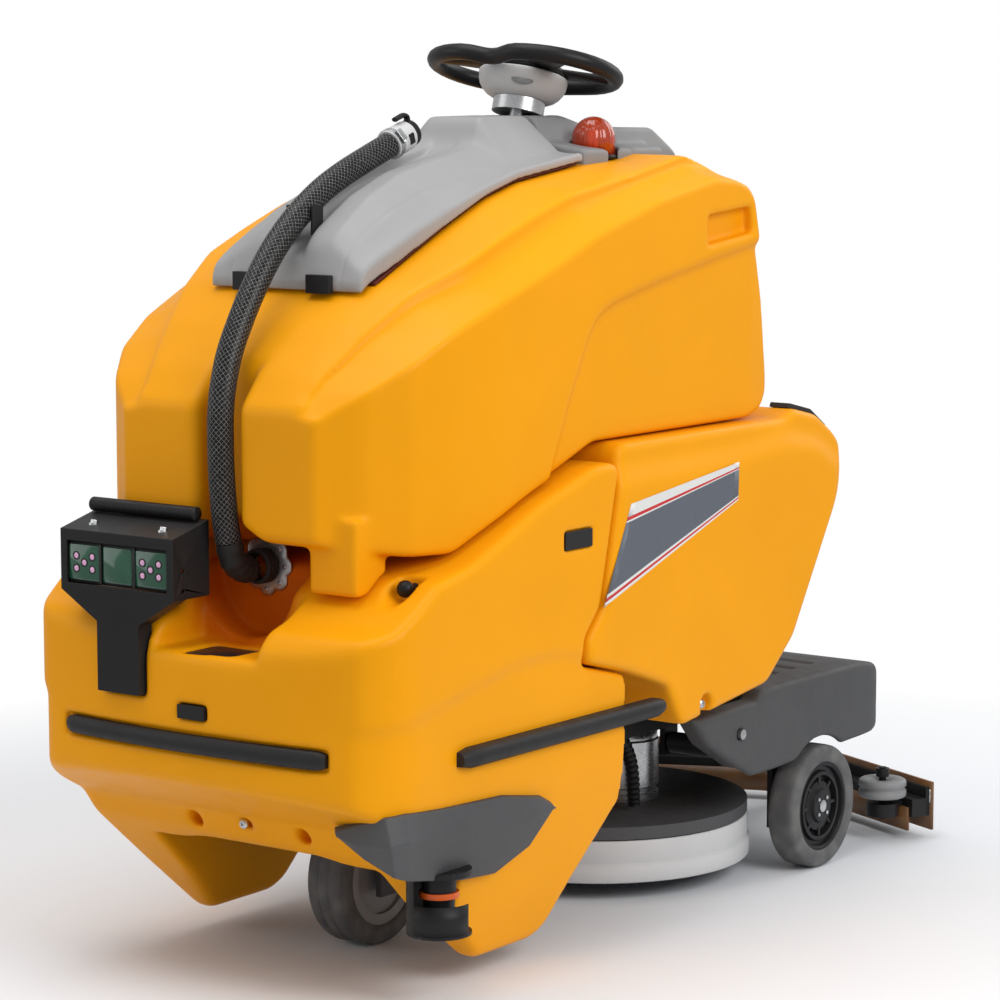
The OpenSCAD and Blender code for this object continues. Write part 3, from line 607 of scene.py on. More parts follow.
def field_piece(name, f, field, body, material, replaces, keep=1.0):
    """The surface of a field as a smooth mesh; keep is the share of its faces that stays."""
    grid = openvdb.FloatGrid(100.0)
    grid.copyFromArray(np.array(whole(field, f), dtype=np.float32, order="C"))
    points, triangles, quads = grid.convertToPolygons(isovalue=0.0, adaptivity=0.0)
    places = (points * f.step + np.array(f.low)) * MM
    faces = [tuple(face[::-1]) for face in quads.tolist() + triangles.tolist()]
    mesh = bpy.data.meshes.new(name)
    mesh.from_pydata(places.tolist(), [], faces)
    piece = finish_piece(name, mesh, body, material, replaces)
    if keep < 1.0:
        fewer = piece.modifiers.new("fewer", "DECIMATE")
        fewer.ratio = keep
    return piece


# Side outlines (back, up) of the two lower bodies, the standing platform and the upper tank, then
# the height of the tank's rim at stations along Y
FAIRING = [(-812, 309), (-812, 470), (-804, 502), (-780, 528), (-740, 540), (-700, 566), (-660, 594),
    (-578, 612), (-417, 680), (-290, 719), (-240, 722), (-225, 712), (-272, 514), (-312, 472), (-312, 433),
    (-214, 409), (-103, 371), (-73, 318), (-75, 288), (-165, 258), (-227, 183), (-288, 112), (-330, 48),
    (-360, 31), (-491, 28), (-672, 205), (-690, 240)]
REAR_BODY = [(-71, 320), (-101, 373), (-212, 411), (-309, 436), (-309, 471), (-269, 513), (-222, 716),
    (-220, 734), (-208, 746), (240, 746), (275, 758), (340, 744), (390, 714), (426, 682), (420, 656),
    (258, 400), (180, 336), (-60, 306)]
PLATFORM = [(16, 300), (205, 302), (214, 318), (520, 318), (576, 310), (610, 292), (628, 262), (636, 196),
    (520, 192), (250, 182), (186, 182), (60, 252)]
TANK = [(-738, 642), (-738, 824), (-700, 872), (-640, 930), (-570, 984), (-480, 1027), (-400, 1064),
    (-318, 1098), (-240, 1120), (-80, 1142), (70, 1158), (128, 1138), (180, 1090), (222, 933), (242, 815),
    (242, 782), (222, 760), (180, 749), (-240, 748.5), (-318, 720), (-400, 692), (-480, 660), (-570, 622),
    (-640, 624), (-700, 634)]
RIM_Y = [-738, -700, -640, -570, -480, -400, -318, -240, -80, 60]
RIM_Z = [824, 872, 930, 984, 1027, 1064, 1098, 1120, 1142, 1150]
TANK_Y = [-738, -700, -640, -570, -480, -400, -318, -240, -80, 70, 128, 180, 222, 242]


def drain_bay(f):
    """The round bay in which the drain fitting sits."""
    return np.maximum(np.hypot(f.x - DRAIN_X, f.z - DRAIN_Z) - DRAIN_R, f.y - DRAIN_BACK_Y)


def latch_pocket(f):
    """The round pocket the latch knob stands in, shared by the tank and the cover."""
    return np.hypot(f.x - KNOB_X, f.z - KNOB_Z) - KNOB_POCKET_R + OFF * (f.y > KNOB_REAR_Y)


def recovery_tank():
    """The upper tank: shoulders with a hollow fold, hose channel, grip pockets and set-in panel."""
    f = Field((-300, -738, 560), (300, 242, 1160), 4.0)
    half_w = f.along(TANK_Y, [172, 226, 266, 284, 295, 298, 299, 300, 300, 300, 300, 300, 296, 292])
    shoulder_z = f.along(TANK_Y, [812, 850, 888, 926, 962, 990, 1020, 1050, 1095, 1121, 1116, 1100, 1080,
        1070])
    rim_x = f.along(TANK_Y, [160, 172, 184, 208, 240, 242, 243, 244, 244, 240, 250, 255, 250, 250])
    rim_z = f.along(TANK_Y, [820, 866, 924, 976, 1018, 1050, 1080, 1104, 1128, 1156, 1146, 1130, 1112, 1104])
    top_z = f.along(RIM_Y + [70, 128, 180, 222, 242], RIM_Z + [1158, 1152, 1140, 1126, 1118])
    panel_depth = 11.0
    fold_depth = 14.0
    crown_x = 150.0
    panel_edge = [(-362, 700), (-306, 823), (-262, 905), (-240, 932), (-200, 948), (-88, 972), (89, 1003),
        (214, 1022), (262, 1022), (262, 700)]
    panel = side_outline(f, panel_edge, 40)
    side_gap = f.side - half_w + panel_depth * step_in(panel, 20.0)
    rise = rim_z - shoulder_z
    run = half_w - rim_x
    climb = np.clip((f.z - shoulder_z) / rise, 0.0, 1.0)
    shoulder = (side_gap * rise + (f.z - shoulder_z) * run) / np.hypot(rise, run)
    shoulder = shoulder + fold_depth * np.sin(np.pi * climb)
    lift = np.maximum(top_z - rim_z, 2.0)
    reach = rim_x - crown_x
    crown = ((f.side - rim_x) * lift + (f.z - rim_z) * reach) / np.hypot(lift, reach)
    body = hold(side_outline(f, TANK, 16), side_gap, 8.0)
    body = hold(body, shoulder, 1.0)
    body = hold(body, crown, 2.0)
    tab = box_field(f, (146, -718, 574), (229, -650, 680))
    body = join(body, tab, 6.0)
    body = cut(body, outline_field(f.y, f.z - 3.0, FAIRING), 5.0)
    channel = every(f.side - 36.0, f.y + 694.0, 560.0 - f.z)
    body = cut(body, channel, 16.0)
    body = whole(cut(body, drain_bay(f), 9.0), f)
    grip = side_outline(f, [(46, 1022), (46, 1066), (166, 1076), (172, 1036)], 14, 4.0)
    body = cut(body, np.maximum(grip, TANK_HW - 20.0 - f.side), 4.0)
    mouth = box_field(f, (-136, -556, 770), (136, -100, 1300))
    body = cut(body, mouth, 6.0)
    body = cut(body, latch_pocket(f), 2.0)
    field_piece("recovery_tank_shell", f, soften(body, 1), "machine", YELLOW, ["recovery_tank"],
        0.5)


def front_fairing():
    """The front cover with its two legs, fold lines and all its recesses."""
    f = Field((-330, -812, 28), (330, -225, 722), 4.0)
    fold = side_outline(f, [(-900, 398), (-744, 408), (-619, 434), (-480, 460), (-390, 462), (-284, 442),
        (-154, 409), (-60, 360), (-60, 0), (-900, 0)], 40)
    side_gap = f.side - BODY_HW + 7.0 * step_in(fold, 16.0)
    bow = np.hypot(f.x, f.y - (BOW_R + FRONT_Y)) - BOW_R
    plan = hold(hold(side_gap, FRONT_Y - f.y, CORNER_R), bow, 4.0)
    legs = [(-50, 186), (110, 186), (165, 168), (205, 110), (228, 28), (264, 28), (290, 120), (308, 205),
        (330, 300), (330, 900), (-50, 900)]
    body = hold(side_outline(f, FAIRING, 14, 6.0), plan, 8.0)
    body = hold(body, outline_field(f.side, f.z, eased(legs, 24, 6.0)), 10.0)
    body = soften(whole(body, f), 2)
    body = cut(body, drain_bay(f), 10.0)
    for low, high in (((-FORK_HW, -640, 0), (FORK_HW, 0, 330)), ((-270, -240, 0), (270, 0, 330)),
                      ((-FORK_HW, -214, 0), (FORK_HW, 0, 420))):
        body = cut(body, box_field(f, low, high), 5.0)
    body = cut(body, box_field(f, (-62, -900, 490), (120, -700, 760)), 12.0)
    body = soften(body, 1)
    body = cut(body, box_field(f, (-157, -900, 420), (-75, -789.7, 545)), 2.0)
    groove = every(-10.0 - bow, np.abs(f.z - 363.0) - 16.0, f.side - 240.0)
    body = cut(body, groove, 2.0)
    body = cut(body, np.maximum(box_field(f, (-400, -618, 332), (400, -114, 362)), 322.0 - f.side), 2.0)
    body = cut(body, box_field(f, (-14, -900, 397), (36, -796, 418)), 2.0)
    window = np.maximum(outline_field(f.y, f.z, [(-366, 606), (-366, 634), (-298, 634), (-298, 606)]),
        318.0 - f.side)
    body = cut(body, window, 2.0)
    slot = outline_field(f.x, f.y, eased([(-18, -796), (-18, -722), (70, -722), (70, -790)], 12, 3.0))
    body = cut(body, np.maximum(slot, 462.0 - f.z), 3.0)
    body = cut(body, latch_pocket(f), 3.0)
    corner = np.hypot(f.x - SCANNER.x, f.y - SCANNER.y) - 46.0
    body = cut(body, np.maximum(corner, f.z - 198.0), 2.0)
    for x, z, r in ((100, 222, 12), (-100, 222, 12), (0, 228, 8)):
        body = cut(body, np.maximum(np.hypot(f.x - x, f.z - z) - r, f.y + 650.0), 2.0)
    field_piece("front_fairing_shell", f, soften(body, 1), "machine", YELLOW, ["front_fairing"],
        0.5)


def solution_tank():
    """The rear lower body."""
    f = Field((-330, -309, 306), (330, 430, 758), 4.0)
    plan = hold(f.side - BODY_HW, f.y - 430.0, 60.0)
    ridge = side_outline(f, [(-400, 690), (-222, 700), (60, 702), (240, 716), (330, 700), (400, 660),
        (460, 640), (460, 900), (-400, 900)], 50)
    side_gap = f.side - BODY_HW + 12.0 * step_in(ridge, 44.0)
    body = hold(side_outline(f, REAR_BODY, 20, 6.0), hold(plan, side_gap), 9.0)
    body = cut(body, box_field(f, (-FORK_HW, -400, 0), (FORK_HW, 600, 294)), 4.0)
    body = soften(whole(body, f), 2)
    body = cut(body, np.maximum(np.hypot(f.x, f.y - 300.0) - 56.0, 742.0 - f.z), 3.0)
    notch = np.hypot(f.y - 4.0, f.z - 330.0) - 16.0
    body = cut(body, np.maximum(notch, BODY_HW - 20.0 - f.side), 2.0)
    field_piece("solution_tank_shell", f, soften(body, 1), "machine", YELLOW, ["solution_tank"],
        0.5)


def lid():
    """The grey lid with its crease, hose groove and raised rear block, hollow below."""
    crease_x = 108.0
    groove_hw = 24.0
    wall = 9.0
    stations = [-590, -556, -480, -400, -318, -240, -214, -198, -82, -73]
    f = Field((-152, -590, 972), (152, -73, 1216), 3.0)
    half_w = f.along([-590, -520, -400, 0], [136, 146, 152, 152], 60.0)
    edge_z = f.along(RIM_Y, RIM_Z, 30.0) + 6.0
    crease_z = f.along(stations, [1014, 1044, 1084, 1111, 1125, 1140, 1146, 1150, 1163, 1162], 24.0)
    top_x = f.along(stations, [74, 70, 64, 60, 58, 56, 54, 46, 46, 46], 30.0)
    top_z = f.along(stations, [1024, 1060, 1106, 1137, 1154, 1168, 1178, 1214, 1215, 1210.5], 16.0)
    groove_z = f.along(stations, [1015, 1036, 1082, 1116, 1134, 1156, 1176, 1230, 1230, 1230], 12.0)
    rim_z = edge_z + f.along([-590, -480, -400, -318, -240], [27, 25, 19, 14, 13])
    rise_out = crease_z - rim_z
    rise_in = top_z - crease_z
    share_out = np.clip((half_w - f.side) / (half_w - crease_x), 0.0, 1.0)
    share_in = np.clip((crease_x - f.side) / (crease_x - top_x), 0.0, 1.0)
    height = rim_z + rise_out * share_out + rise_in * share_in - 2.0 * np.sin(np.pi * share_out)
    tilt = np.where(f.side > crease_x, rise_out / (half_w - crease_x),
        rise_in / (crease_x - top_x) * (f.side > top_x))
    front = -590.0 - f.y + 0.35 * np.maximum(f.z - 990.0, 0.0)
    outer = hold(f.side - half_w, (f.z - height) / np.hypot(1.0, tilt), 4.0)
    outer = hold(outer, front, 5.0)
    outer = hold(outer, f.y + 73.0, 3.0)
    outer = cut(outer, np.maximum(f.side - groove_hw, groove_z - f.z), 5.0)
    outer = soften(whole(outer, f), 1)
    seam = np.abs(f.side - 100.0 - 0.02 * (f.y + 590.0)) - 1.6
    outer = outer + 1.6 * step_in(seam, 3.0) * (f.y < -215.0)
    body = hold(outer, edge_z - f.z, 1.5)
    body = cut(body, outer + wall)
    for x in (-22.5, 22.5):
        body = join(body, box_field(f, (x - 4, -95.5, 1190), (x + 4, -83.5, 1210)))
    for x in LUG_X:
        body = cut(body, box_field(f, (x - 5, -90, 1100), (x + 5, -60, 1206)))
    body = cut(body, np.maximum(np.hypot(f.y - HINGE_Y, f.z - HINGE_Z) - 3.4, f.side - 29.0))
    field_piece("lid_shell", f, body, "lid", LID_GREY, ["lid"], 0.6)


def tilted(f, origin, tilt):
    """Distances along and out of a plane tilted about X through the origin point."""
    sine = math.sin(tilt)
    cosine = math.cos(tilt)
    along = (f.y - origin.y) * cosine - (f.z - origin.z) * sine
    out = (f.y - origin.y) * sine + (f.z - origin.z) * cosine
    return along, out


def console():
    """The grey console behind the lid, with its seats for the column, the beacon and the dash."""
    f = Field((-150, -68, 1119), (150, 234, 1216), 2.5)
    front_side = [(-68, 1136), (-68, 1216), (8, 1216), (60, 1200), (128, 1186), (146, 1166), (146, 1136)]
    front_face = [(-40, 1100), (-40, 1216), (52, 1216), (76, 1176), (104, 1172), (150, 1165), (150, 1100)]
    rear_side = [(62, 1130), (62, 1198), (178, 1195), (234, 1152.8), (234, 1119), (152, 1119), (148, 1130)]
    rear_face = [(-40, 1100), (-40, 1198), (106, 1198), (118, 1160), (118, 1100)]
    front = hold(side_outline(f, front_side, 14, 4.0), outline_field(f.side, f.z, eased(front_face, 14, 4.0)),
        4.0)
    rear = hold(side_outline(f, rear_side, 10, 4.0), outline_field(f.side, f.z, eased(rear_face, 10, 4.0)),
        5.0)
    body = join(front, rear, 3.0)
    body = soften(whole(body, f), 2)
    across, up = tilted(f, COLUMN, STEER_TILT)
    body = cut(body, np.maximum(np.hypot(f.x, across) - 44.0, 1.5 - up), 2.0)
    body = cut(body, np.maximum(np.hypot(f.x - BEACON.x, f.y - BEACON.y) - 36.8, 1140.0 - f.z), 2.0)
    down, out = tilted(f, DASH, DASH_TILT)
    recess = every(f.side - 52.5, np.abs(down) - 26.5, -4.0 - out)
    body = cut(body, recess, 1.5)
    seam = np.maximum(np.abs(f.y - 60.0) - 2.0, 1130.0 - f.z)
    body = cut(body, np.maximum(seam, -(body + 3.0)), 1.0)
    for x in LUG_X:
        lug = np.maximum(np.hypot(f.y - HINGE_Y, f.z - HINGE_Z) - 7.0, np.abs(f.x - x) - 4.0)
        slope = np.abs(f.z - 1188.0 + 0.5 * (f.y + 68.0)) - 7.0
        arm = every(slope, np.abs(f.x - x) - 4.0, -90.0 - f.y, f.y + 60.0)
        body = join(join(body, lug), arm)
    field_piece("console_shell", f, soften(body, 1), "machine", GREY, ["steering_console"],
        0.6)


def platform():
    """The dark standing platform with its treads and wheel arches."""
    f = Field((-298, 16, 182), (298, 636, 318), 3.0)
    plan = hold(f.side - 298.0, f.y - 636.0, 90.0)
    body = hold(side_outline(f, PLATFORM, 14, 5.0), plan, 9.0)
    body = soften(whole(body, f), 2)
    inner = hold(outline_field(f.y, f.z, PLATFORM) + 11.0, hold(f.side - 287.0, f.y - 625.0, 80.0))
    body = cut(body, inner)
    for low, high in (((-286, 60, 0), (286, 630, 200)), ((-262, -60, 0), (262, 212, 400)),
                      ((-262, 200, 0), (262, 256, 296))):
        body = cut(body, box_field(f, low, high), 3.0)
    arch = np.hypot(f.y - REAR_AXLE.y, f.z - REAR_AXLE.z) - 114.0
    body = cut(body, np.maximum(arch, 240.0 - f.side), 4.0)
    for index in range(4):
        y0 = 300.0 + 56.0 * index
        curve = 10.0 * (f.x / 230.0) ** 2
        groove = every(y0 - curve - f.y, f.y - y0 - 14.0 + curve, 313.5 - f.z)
        body = cut(body, np.maximum(groove, f.side - 236.0), 2.0)
    body = cut(body, np.maximum(np.hypot(f.y - 150.0, f.z - 257.0) - 8.7, 280.0 - f.side), 1.0)
    field_piece("platform_shell", f, soften(body, 1), "machine", DARK, ["platform"], 0.6)


# ---- Drain hose ----

HOSE_R = 19.0
HOSE_ROUTE = [(12, -690, 592), (12, -706, 597), (12, -720, 610), (12, -729, 636), (12, -736, 672),
    (11, -740, 716), (10, -741, 766), (8, -738, 815), (6, -729, 855), (4, -713, 896), (3, -690, 936),
    (2, -664, 974), (1, -633, 1013), (0, -597, 1049), (0, -556, 1082), (0, -508, 1112), (0, -456, 1136),
    (0, -400, 1157), (0, -352, 1174)]
ELBOW_POINTS = 4


def spline(points, per_span=8):
    """A smooth curve through the points."""
    points = [Vector(p) for p in points]
    result = []
    for index in range(len(points) - 1):
        p0 = points[max(index - 1, 0)]
        p1 = points[index]
        p2 = points[index + 1]
        p3 = points[min(index + 2, len(points) - 1)]
        for step in range(per_span):
            t = step / per_span
            a = 2 * p1 + (p2 - p0) * t
            b = (2 * p0 - 5 * p1 + 4 * p2 - p3) * t * t
            c = (3 * p1 - p0 - 3 * p2 + p3) * t ** 3
            result.append((a + b + c) / 2)
    result.append(points[-1])
    return result


def hose_end():
    """Places a shape at the hose's top end, its +Z along the hose."""
    heading = (Vector(HOSE_ROUTE[-1]) - Vector(HOSE_ROUTE[-2])).normalized()
    turn = Vector((0, 0, 1)).rotation_difference(heading)
    return Matrix.Translation(Vector(HOSE_ROUTE[-1])) @ turn.to_matrix().to_4x4()


def drain_hose():
    """The hose with its elbow, cuff, worm clamp and plug."""
    route = spline(HOSE_ROUTE[ELBOW_POINTS - 1:], 10)
    sides = 28
    points, faces = tube(route, HOSE_R - 0.4, sides)
    hose = Shape().add(points, faces).piece("drain_hose_braid", "hose", HOSE, ["drain_hose"], "rubber")
    lengths = [0.0]
    for before, after in zip(route, route[1:]):
        lengths.append(lengths[-1] + (after - before).length)
    around = 2 * math.pi * HOSE_R
    layer = hose.data.uv_layers.new(name="turns")
    for polygon in hose.data.polygons:
        wraps = any(hose.data.loops[i].vertex_index % sides == sides - 1 for i in polygon.loop_indices)
        for i in polygon.loop_indices:
            vertex = hose.data.loops[i].vertex_index
            turn = vertex % sides
            if turn == 0 and wraps and len(polygon.loop_indices) == 4:
                turn = sides
            layer.data[i].uv = (turn / sides, lengths[vertex // sides] / around)
    elbow_path = spline(HOSE_ROUTE[:ELBOW_POINTS], 8)
    swell = [HOSE_R - 0.6 + (1.0 if index % 5 < 2 else 0.0) for index in range(len(elbow_path))]
    elbow = Shape().add(*tube(elbow_path, swell, sides))
    elbow.add(*ball(HOSE_R - 0.2), shift(*HOSE_ROUTE[0]))
    elbow_piece = elbow.piece("drain_elbow", "hose", RUBBER, (), "rubber")
    end = hose_end()
    cuff_profile = [(15.2, 0.4), (21.4, 0.4), (22, 1.4), (22, 9), (21, 10), (21, 13), (22, 14), (22, 17),
        (21, 18), (21, 21), (22, 22), (22, 40), (21, 44), (15.2, 44)]
    cuff = Shape().turn(cuff_profile, 56, end)
    cuff_piece = cuff.piece("hose_cuff_body", "hose", LIGHT, ["hose_cuff"], "light_plastic", 0.4)
    clamp = Shape().turn([(21.6, 3), (23, 3), (23, 12), (21.6, 12)], 56, end)
    screw_place = end @ shift(20, -13, 7.5) @ spin(math.radians(-32), "Z")
    clamp.plate((4.5, 9, 1.5), (-5.0, 5.0, 0.8), screw_place)
    clamp.turn([(0.01, -12), (4, -12), (4, -8), (0.01, -8)], 6, screw_place @ spin(math.pi / 2, "X"), False)
    clamp_piece = clamp.piece("hose_clamp", "hose", STEEL, (), "steel", 0.2)
    plug_profile = [(0.01, 24), (14.6, 24), (14.6, 44.6), (19, 44.6), (20, 45.6), (20, 55), (18.6, 56.4),
        (0.01, 56.4)]
    plug = Shape().turn(plug_profile, 48, end, False)
    lever_path = [(0, -14, 51), (0, -21, 54), (0, -26, 53), (0, -29.5, 47), (0, -30, 38), (0, -30, 26)]
    plug.add(*tube(spline(lever_path, 6), 3.6, 12, False, 1.5), end)
    plug.plate((6, 8, 2), (20.6, 22.6, 0.5), end @ shift(0, 0, 30) @ spin(math.pi / 2, "Y"))
    plug_piece = plug.piece("drain_plug_lever", "hose", BLACK, ["drain_plug"], "black_plastic", 0.3)


drain_hose()


# ---- Drain fitting ----

def on_y(x, y, z):
    """Places a shape turned round Z on an axis that points to the front."""
    return shift(x, y, z) @ spin(math.pi / 2, "X")


def drain_fitting():
    """The flange with its eight petals and rivets, and the ribbed collar the hose turns in."""
    petals = 8
    points = []
    segments = 96
    profile = [(19.4, 0), (19.4, 5.6), (30, 5.8), (40, 5), (43.6, 2.6), (43.6, 0)]
    for turn in turns(segments):
        wave = 0.5 + 0.5 * math.cos(petals * turn)
        for radius, height in profile:
            reach = radius - (0.0 if radius < 35 else 5.0 * (1 - wave) ** 2)
            points.append((reach * math.cos(turn), reach * math.sin(turn), height))
    _, faces = revolve(profile, segments)
    face = on_y(14, -646.2, 594)
    flange = Shape().add(points, faces, face)
    for turn in turns(petals):
        place = face @ shift(34 * math.cos(turn), 34 * math.sin(turn), 5.2)
        flange.add(*ball(3.6, 14, 8, 0.4), place)
    flange.piece("drain_flange_petals", "machine", CAST, ["drain_flange"], "steel", 0.4)
    rib = [(19.4, 0)]
    for index in range(5):
        base = 0.4 + 4.3 * index
        rib += [(23.2, base), (25.0, base + 0.8), (25.0, base + 2.6), (23.2, base + 3.4)]
    rib.append((19.4, 22))
    collar = Shape().turn(rib, 64, on_y(14, -652, 594))
    collar.piece("drain_collar_ribbed", "machine", RUBBER, ["drain_collar"], "rubber")


# ---- Steering ----

def wheel_path(steps=18):
    """The wheel's butterfly rim: two round ends joined by straights that dip in."""
    end_r = 98.0
    side = 51.0
    dip_in = 13.0
    dip_down = 4.0
    path = []
    for flip in (1, -1):
        for step in range(steps):
            turn = -math.pi / 2 + math.pi * step / (steps - 1)
            path.append((flip * (side + end_r * math.cos(turn)), flip * end_r * math.sin(turn), 0.0))
        for step in range(1, 8):
            share = step / 8
            dip = math.sin(math.pi * share) ** 2
            path.append((flip * (side - 2 * side * share), flip * (end_r - dip_in * dip), -dip_down * dip))
    return path


def steering():
    """The steering wheel with its spokes and hub, and the bowl below it."""
    rise = at_column() @ shift(0, 0, 73)
    rim = Shape().add(*tube(wheel_path(), 12.6, 20, True), rise)
    near = 40.0
    far = 140.0
    steps = 8
    sides = 16
    for turn in (-28, 28, 152, 208):
        points = []
        for step in range(steps + 1):
            share = step / steps
            out = near + (far - near) * share
            across = 27.0 - 17.0 * share ** 1.5
            thick = 5.5 + 2.5 * share ** 2
            for around in turns(sides):
                points.append((out, across * math.cos(around), thick * math.sin(around)))
        rim.add(points, rings_to_faces(steps + 1, sides), rise @ spin(math.radians(turn), "Z"))
    hub = [(12.2, -8), (60, -8), (66, -4), (66, 3), (52, 8), (26, 11), (12.2, 12)]
    rim.turn(hub, 64, rise)
    rim.piece("steering_wheel_rim", "steering", BLACK, ["steering_wheel"], "black_plastic")
    bowl = [(12.2, 24), (41, 24), (45, 25), (54, 29.5), (60, 35), (65, 42.5), (67.6, 50), (69, 61),
        (68, 63.6), (60, 64), (12.2, 64)]
    hub_bowl = Shape().turn(bowl, 72, at_column())
    hub_bowl.piece("steering_bowl", "steering", LIGHT, ["steering_hub"], "grey_plastic")
    badge = Shape()
    for turn in (-54, 126):
        place = at_column() @ spin(math.radians(turn), "Z")
        place = place @ shift(61.6, 0, 44) @ spin(math.radians(62), "Y")
        badge.add(*ball(13.0, 28, 12, 0.34), place @ Matrix.Diagonal((0.75, 1.35, 1.0, 1.0)))
    badge.piece("steering_bowl_pads", "steering", GREY, (), "light_plastic")


# ---- Beacon ----

def beacon():
    """The ribbed orange lens, the lamp inside it and its foot."""
    place = Matrix.Translation(BEACON + Vector((0, 0, 6)))
    profile = [(30.8, 0.2), (33, 0.2), (33.2, 24)]
    for step in range(1, 10):
        turn = math.pi / 2 * step / 9
        profile.append((max(33.2 * math.cos(turn), 0.02), 24.0 + 33.4 * math.sin(turn)))
    for step in range(9, 0, -1):
        turn = math.pi / 2 * step / 9
        profile.append((max(30.4 * math.cos(turn), 0.01), 24.0 + 30.4 * math.sin(turn)))
    outer_count = 12
    points, faces = revolve(profile, 96)
    ribbed = []
    for index, point in enumerate(points):
        step = index // len(profile)
        outer = index % len(profile) < outer_count
        swell = 1.0 - 0.020 * (step % 4 in (0, 1)) if outer else 1.0
        ribbed.append((point[0] * swell, point[1] * swell, point[2]))
    lens_shape = Shape().add(ribbed, faces, place)
    lens_shape.piece("beacon_lens", "machine", BEACON_LENS, ["beacon_dome"], "orange_lens")
    lamp = Shape().turn([(0.01, 0.5), (16, 0.5), (16, 6), (9, 8), (8, 34), (0.01, 38)], 32, place, False)
    lamp.piece("beacon_lamp", "machine", lens("lamp", (0.95, 0.55, 0.12), 0.8), (), "orange_lens")
    base = [(0.01, 0), (36, 0), (36, 3), (35, 5.8), (0.01, 5.9)]
    foot = Shape().turn(base, 64, Matrix.Translation(BEACON), False)
    foot.piece("beacon_foot", "machine", BLACK, ["beacon_base"], "black_plastic")


# ---- Sensor head ----

def sensor_head():
    """The face of the black sensor head: three green windows, lamps, the bar and two bolts."""
    centre_x = (HEAD_X[0] + HEAD_X[1]) / 2
    flat = shift(centre_x, HEAD_FRONT, 600) @ spin(math.pi / 2, "X")
    panes = Shape()
    frame_piece = Shape()
    leds = Shape()
    frame_piece.plate((92.4, 29.4, 3), (-14.0, -5.0, 0.5), flat)
    for index, x in enumerate((-62, 0, 62)):
        half_w = 27.0 if index == 1 else 29.0
        pane = flat @ shift(x, 0, 0)
        panes.plate((half_w, 25.0, 3), (-5.0, -2.6, 0.6), pane)
        if index == 1:
            continue
        for dx, dz in ((-15, 9), (15, 9), (-15, -9), (15, -9), (0, 0)):
            leds.add(*ball(4.2, 16, 8, 0.45), pane @ shift(dx, dz, -2.6))
            frame_piece.turn([(4.4, -2.8), (6.2, -2.8), (6.2, -1.9), (4.4, -1.9)], 20,
                pane @ shift(dx, dz, 0))
    for x in (-31.5, 31.5):
        frame_piece.plate((2.4, 28, 1), (-6.0, -1.6, 0.4), flat @ shift(x, 0, 0))
    panes.piece("sensor_panes", "machine", GREEN_LENS, ["sensor_window"], "green_window")
    frame_piece.piece("sensor_pane_frame", "machine", BLACK, (), "black_plastic")
    leds.piece("sensor_leds", "machine", LED, (), "green_window")
    bar = []
    for index in range(46):
        rib = 4.25 * index
        bar += [(9.4, rib), (10.0, rib + 1.0), (10.0, rib + 3.0), (9.4, rib + 4.0)]
    profile = [(0.01, 0)] + bar + [(0.01, 195.9)]
    start = shift(HEAD_X[0] + 4.0, HEAD_REAR - 12.0, 674.0) @ spin(math.pi / 2, "Y")
    round_bar = Shape().turn(profile, 32, start, False)
    round_bar.piece("sensor_bar_ribbed", "machine", BLACK, ["sensor_bar"], "black_plastic")
    bolts = Shape()
    for x in (HEAD_X[0] + 40.0, HEAD_X[1] - 40.0):
        seat = shift(x, -792.0, 652.6) @ spin(math.radians(-14.7), "X")
        bolts.turn([(0.01, -4), (7, -4), (7, 0), (0.01, 0)], 24, seat, False)
        bolts.turn([(0.01, 0), (5, 0), (5, 4.6), (4.4, 5.2), (0.01, 5.2)], 6, seat, False)
    bolts.piece("sensor_bolts", "machine", STEEL, (), "steel", 0.2)


# ---- Bumpers, windows, decal, screws ----

def d_profile(height, depth, steps=8):
    """Half-round section: (out, up), flat at the back."""
    outline = [(-depth, 0.0), (-depth, height)]
    for step in range(steps + 1):
        turn = math.pi / 2 - math.pi * step / steps
        out = -depth + (STRIP_REACH + depth) * (0.55 + 0.45 * math.cos(turn))
        outline.append((out, height / 2 + height / 2 * math.sin(turn)))
    return outline


def bumpers():
    """The strip round the front and the strips along the sides."""
    depth = 9.6
    half_h = 13.0
    front_z = 363.0
    count = 60
    section = d_profile(2 * half_h, depth)
    half = math.asin(236.0 / BOW_R)
    rings = []
    for step in range(count + 1):
        turn = -half + 2 * half * step / count
        shrink = {0: 0.72, 1: 0.92}.get(min(step, count - step), 1.0)
        for out, up in section:
            radius = BOW_R + (out + depth) * shrink - depth
            height = front_z + (up - half_h) * shrink
            rings.append((radius * math.sin(turn), BOW_R + FRONT_Y - radius * math.cos(turn), height))
    strip = Shape().add(rings, rings_to_faces(count + 1, len(section)))
    strip.piece("front_bumper_rubber", "machine", BUMPER, ["front_bumper_strip"], "bumper_rubber", 0.8)
    side_z = 347.0
    side_half_h = 14.5
    rear_end = 24
    arc = 14
    both = Shape()
    for side in (-1, 1):
        rings = []
        for step in range(rear_end + 1):
            y = -616.0 + 500.0 * step / rear_end
            shrink = 0.7 if step in (0, rear_end) else 1.0
            for arc_step in range(arc + 1):
                turn = -math.pi / 2 + math.pi * arc_step / arc
                out = 320.5 + (21.0 * max(math.cos(turn), 0.0) ** 0.6) * shrink
                rings.append((side * out, y, side_z + side_half_h * math.sin(turn) * shrink))
        faces = rings_to_faces(rear_end + 1, arc + 1)
        if side > 0:
            faces = [face[::-1] for face in faces]
        both.add(rings, faces)
    both.piece("side_bumper_rubbers", "machine", BUMPER, ["side_bumper_strips"], "bumper_rubber", 0.8)


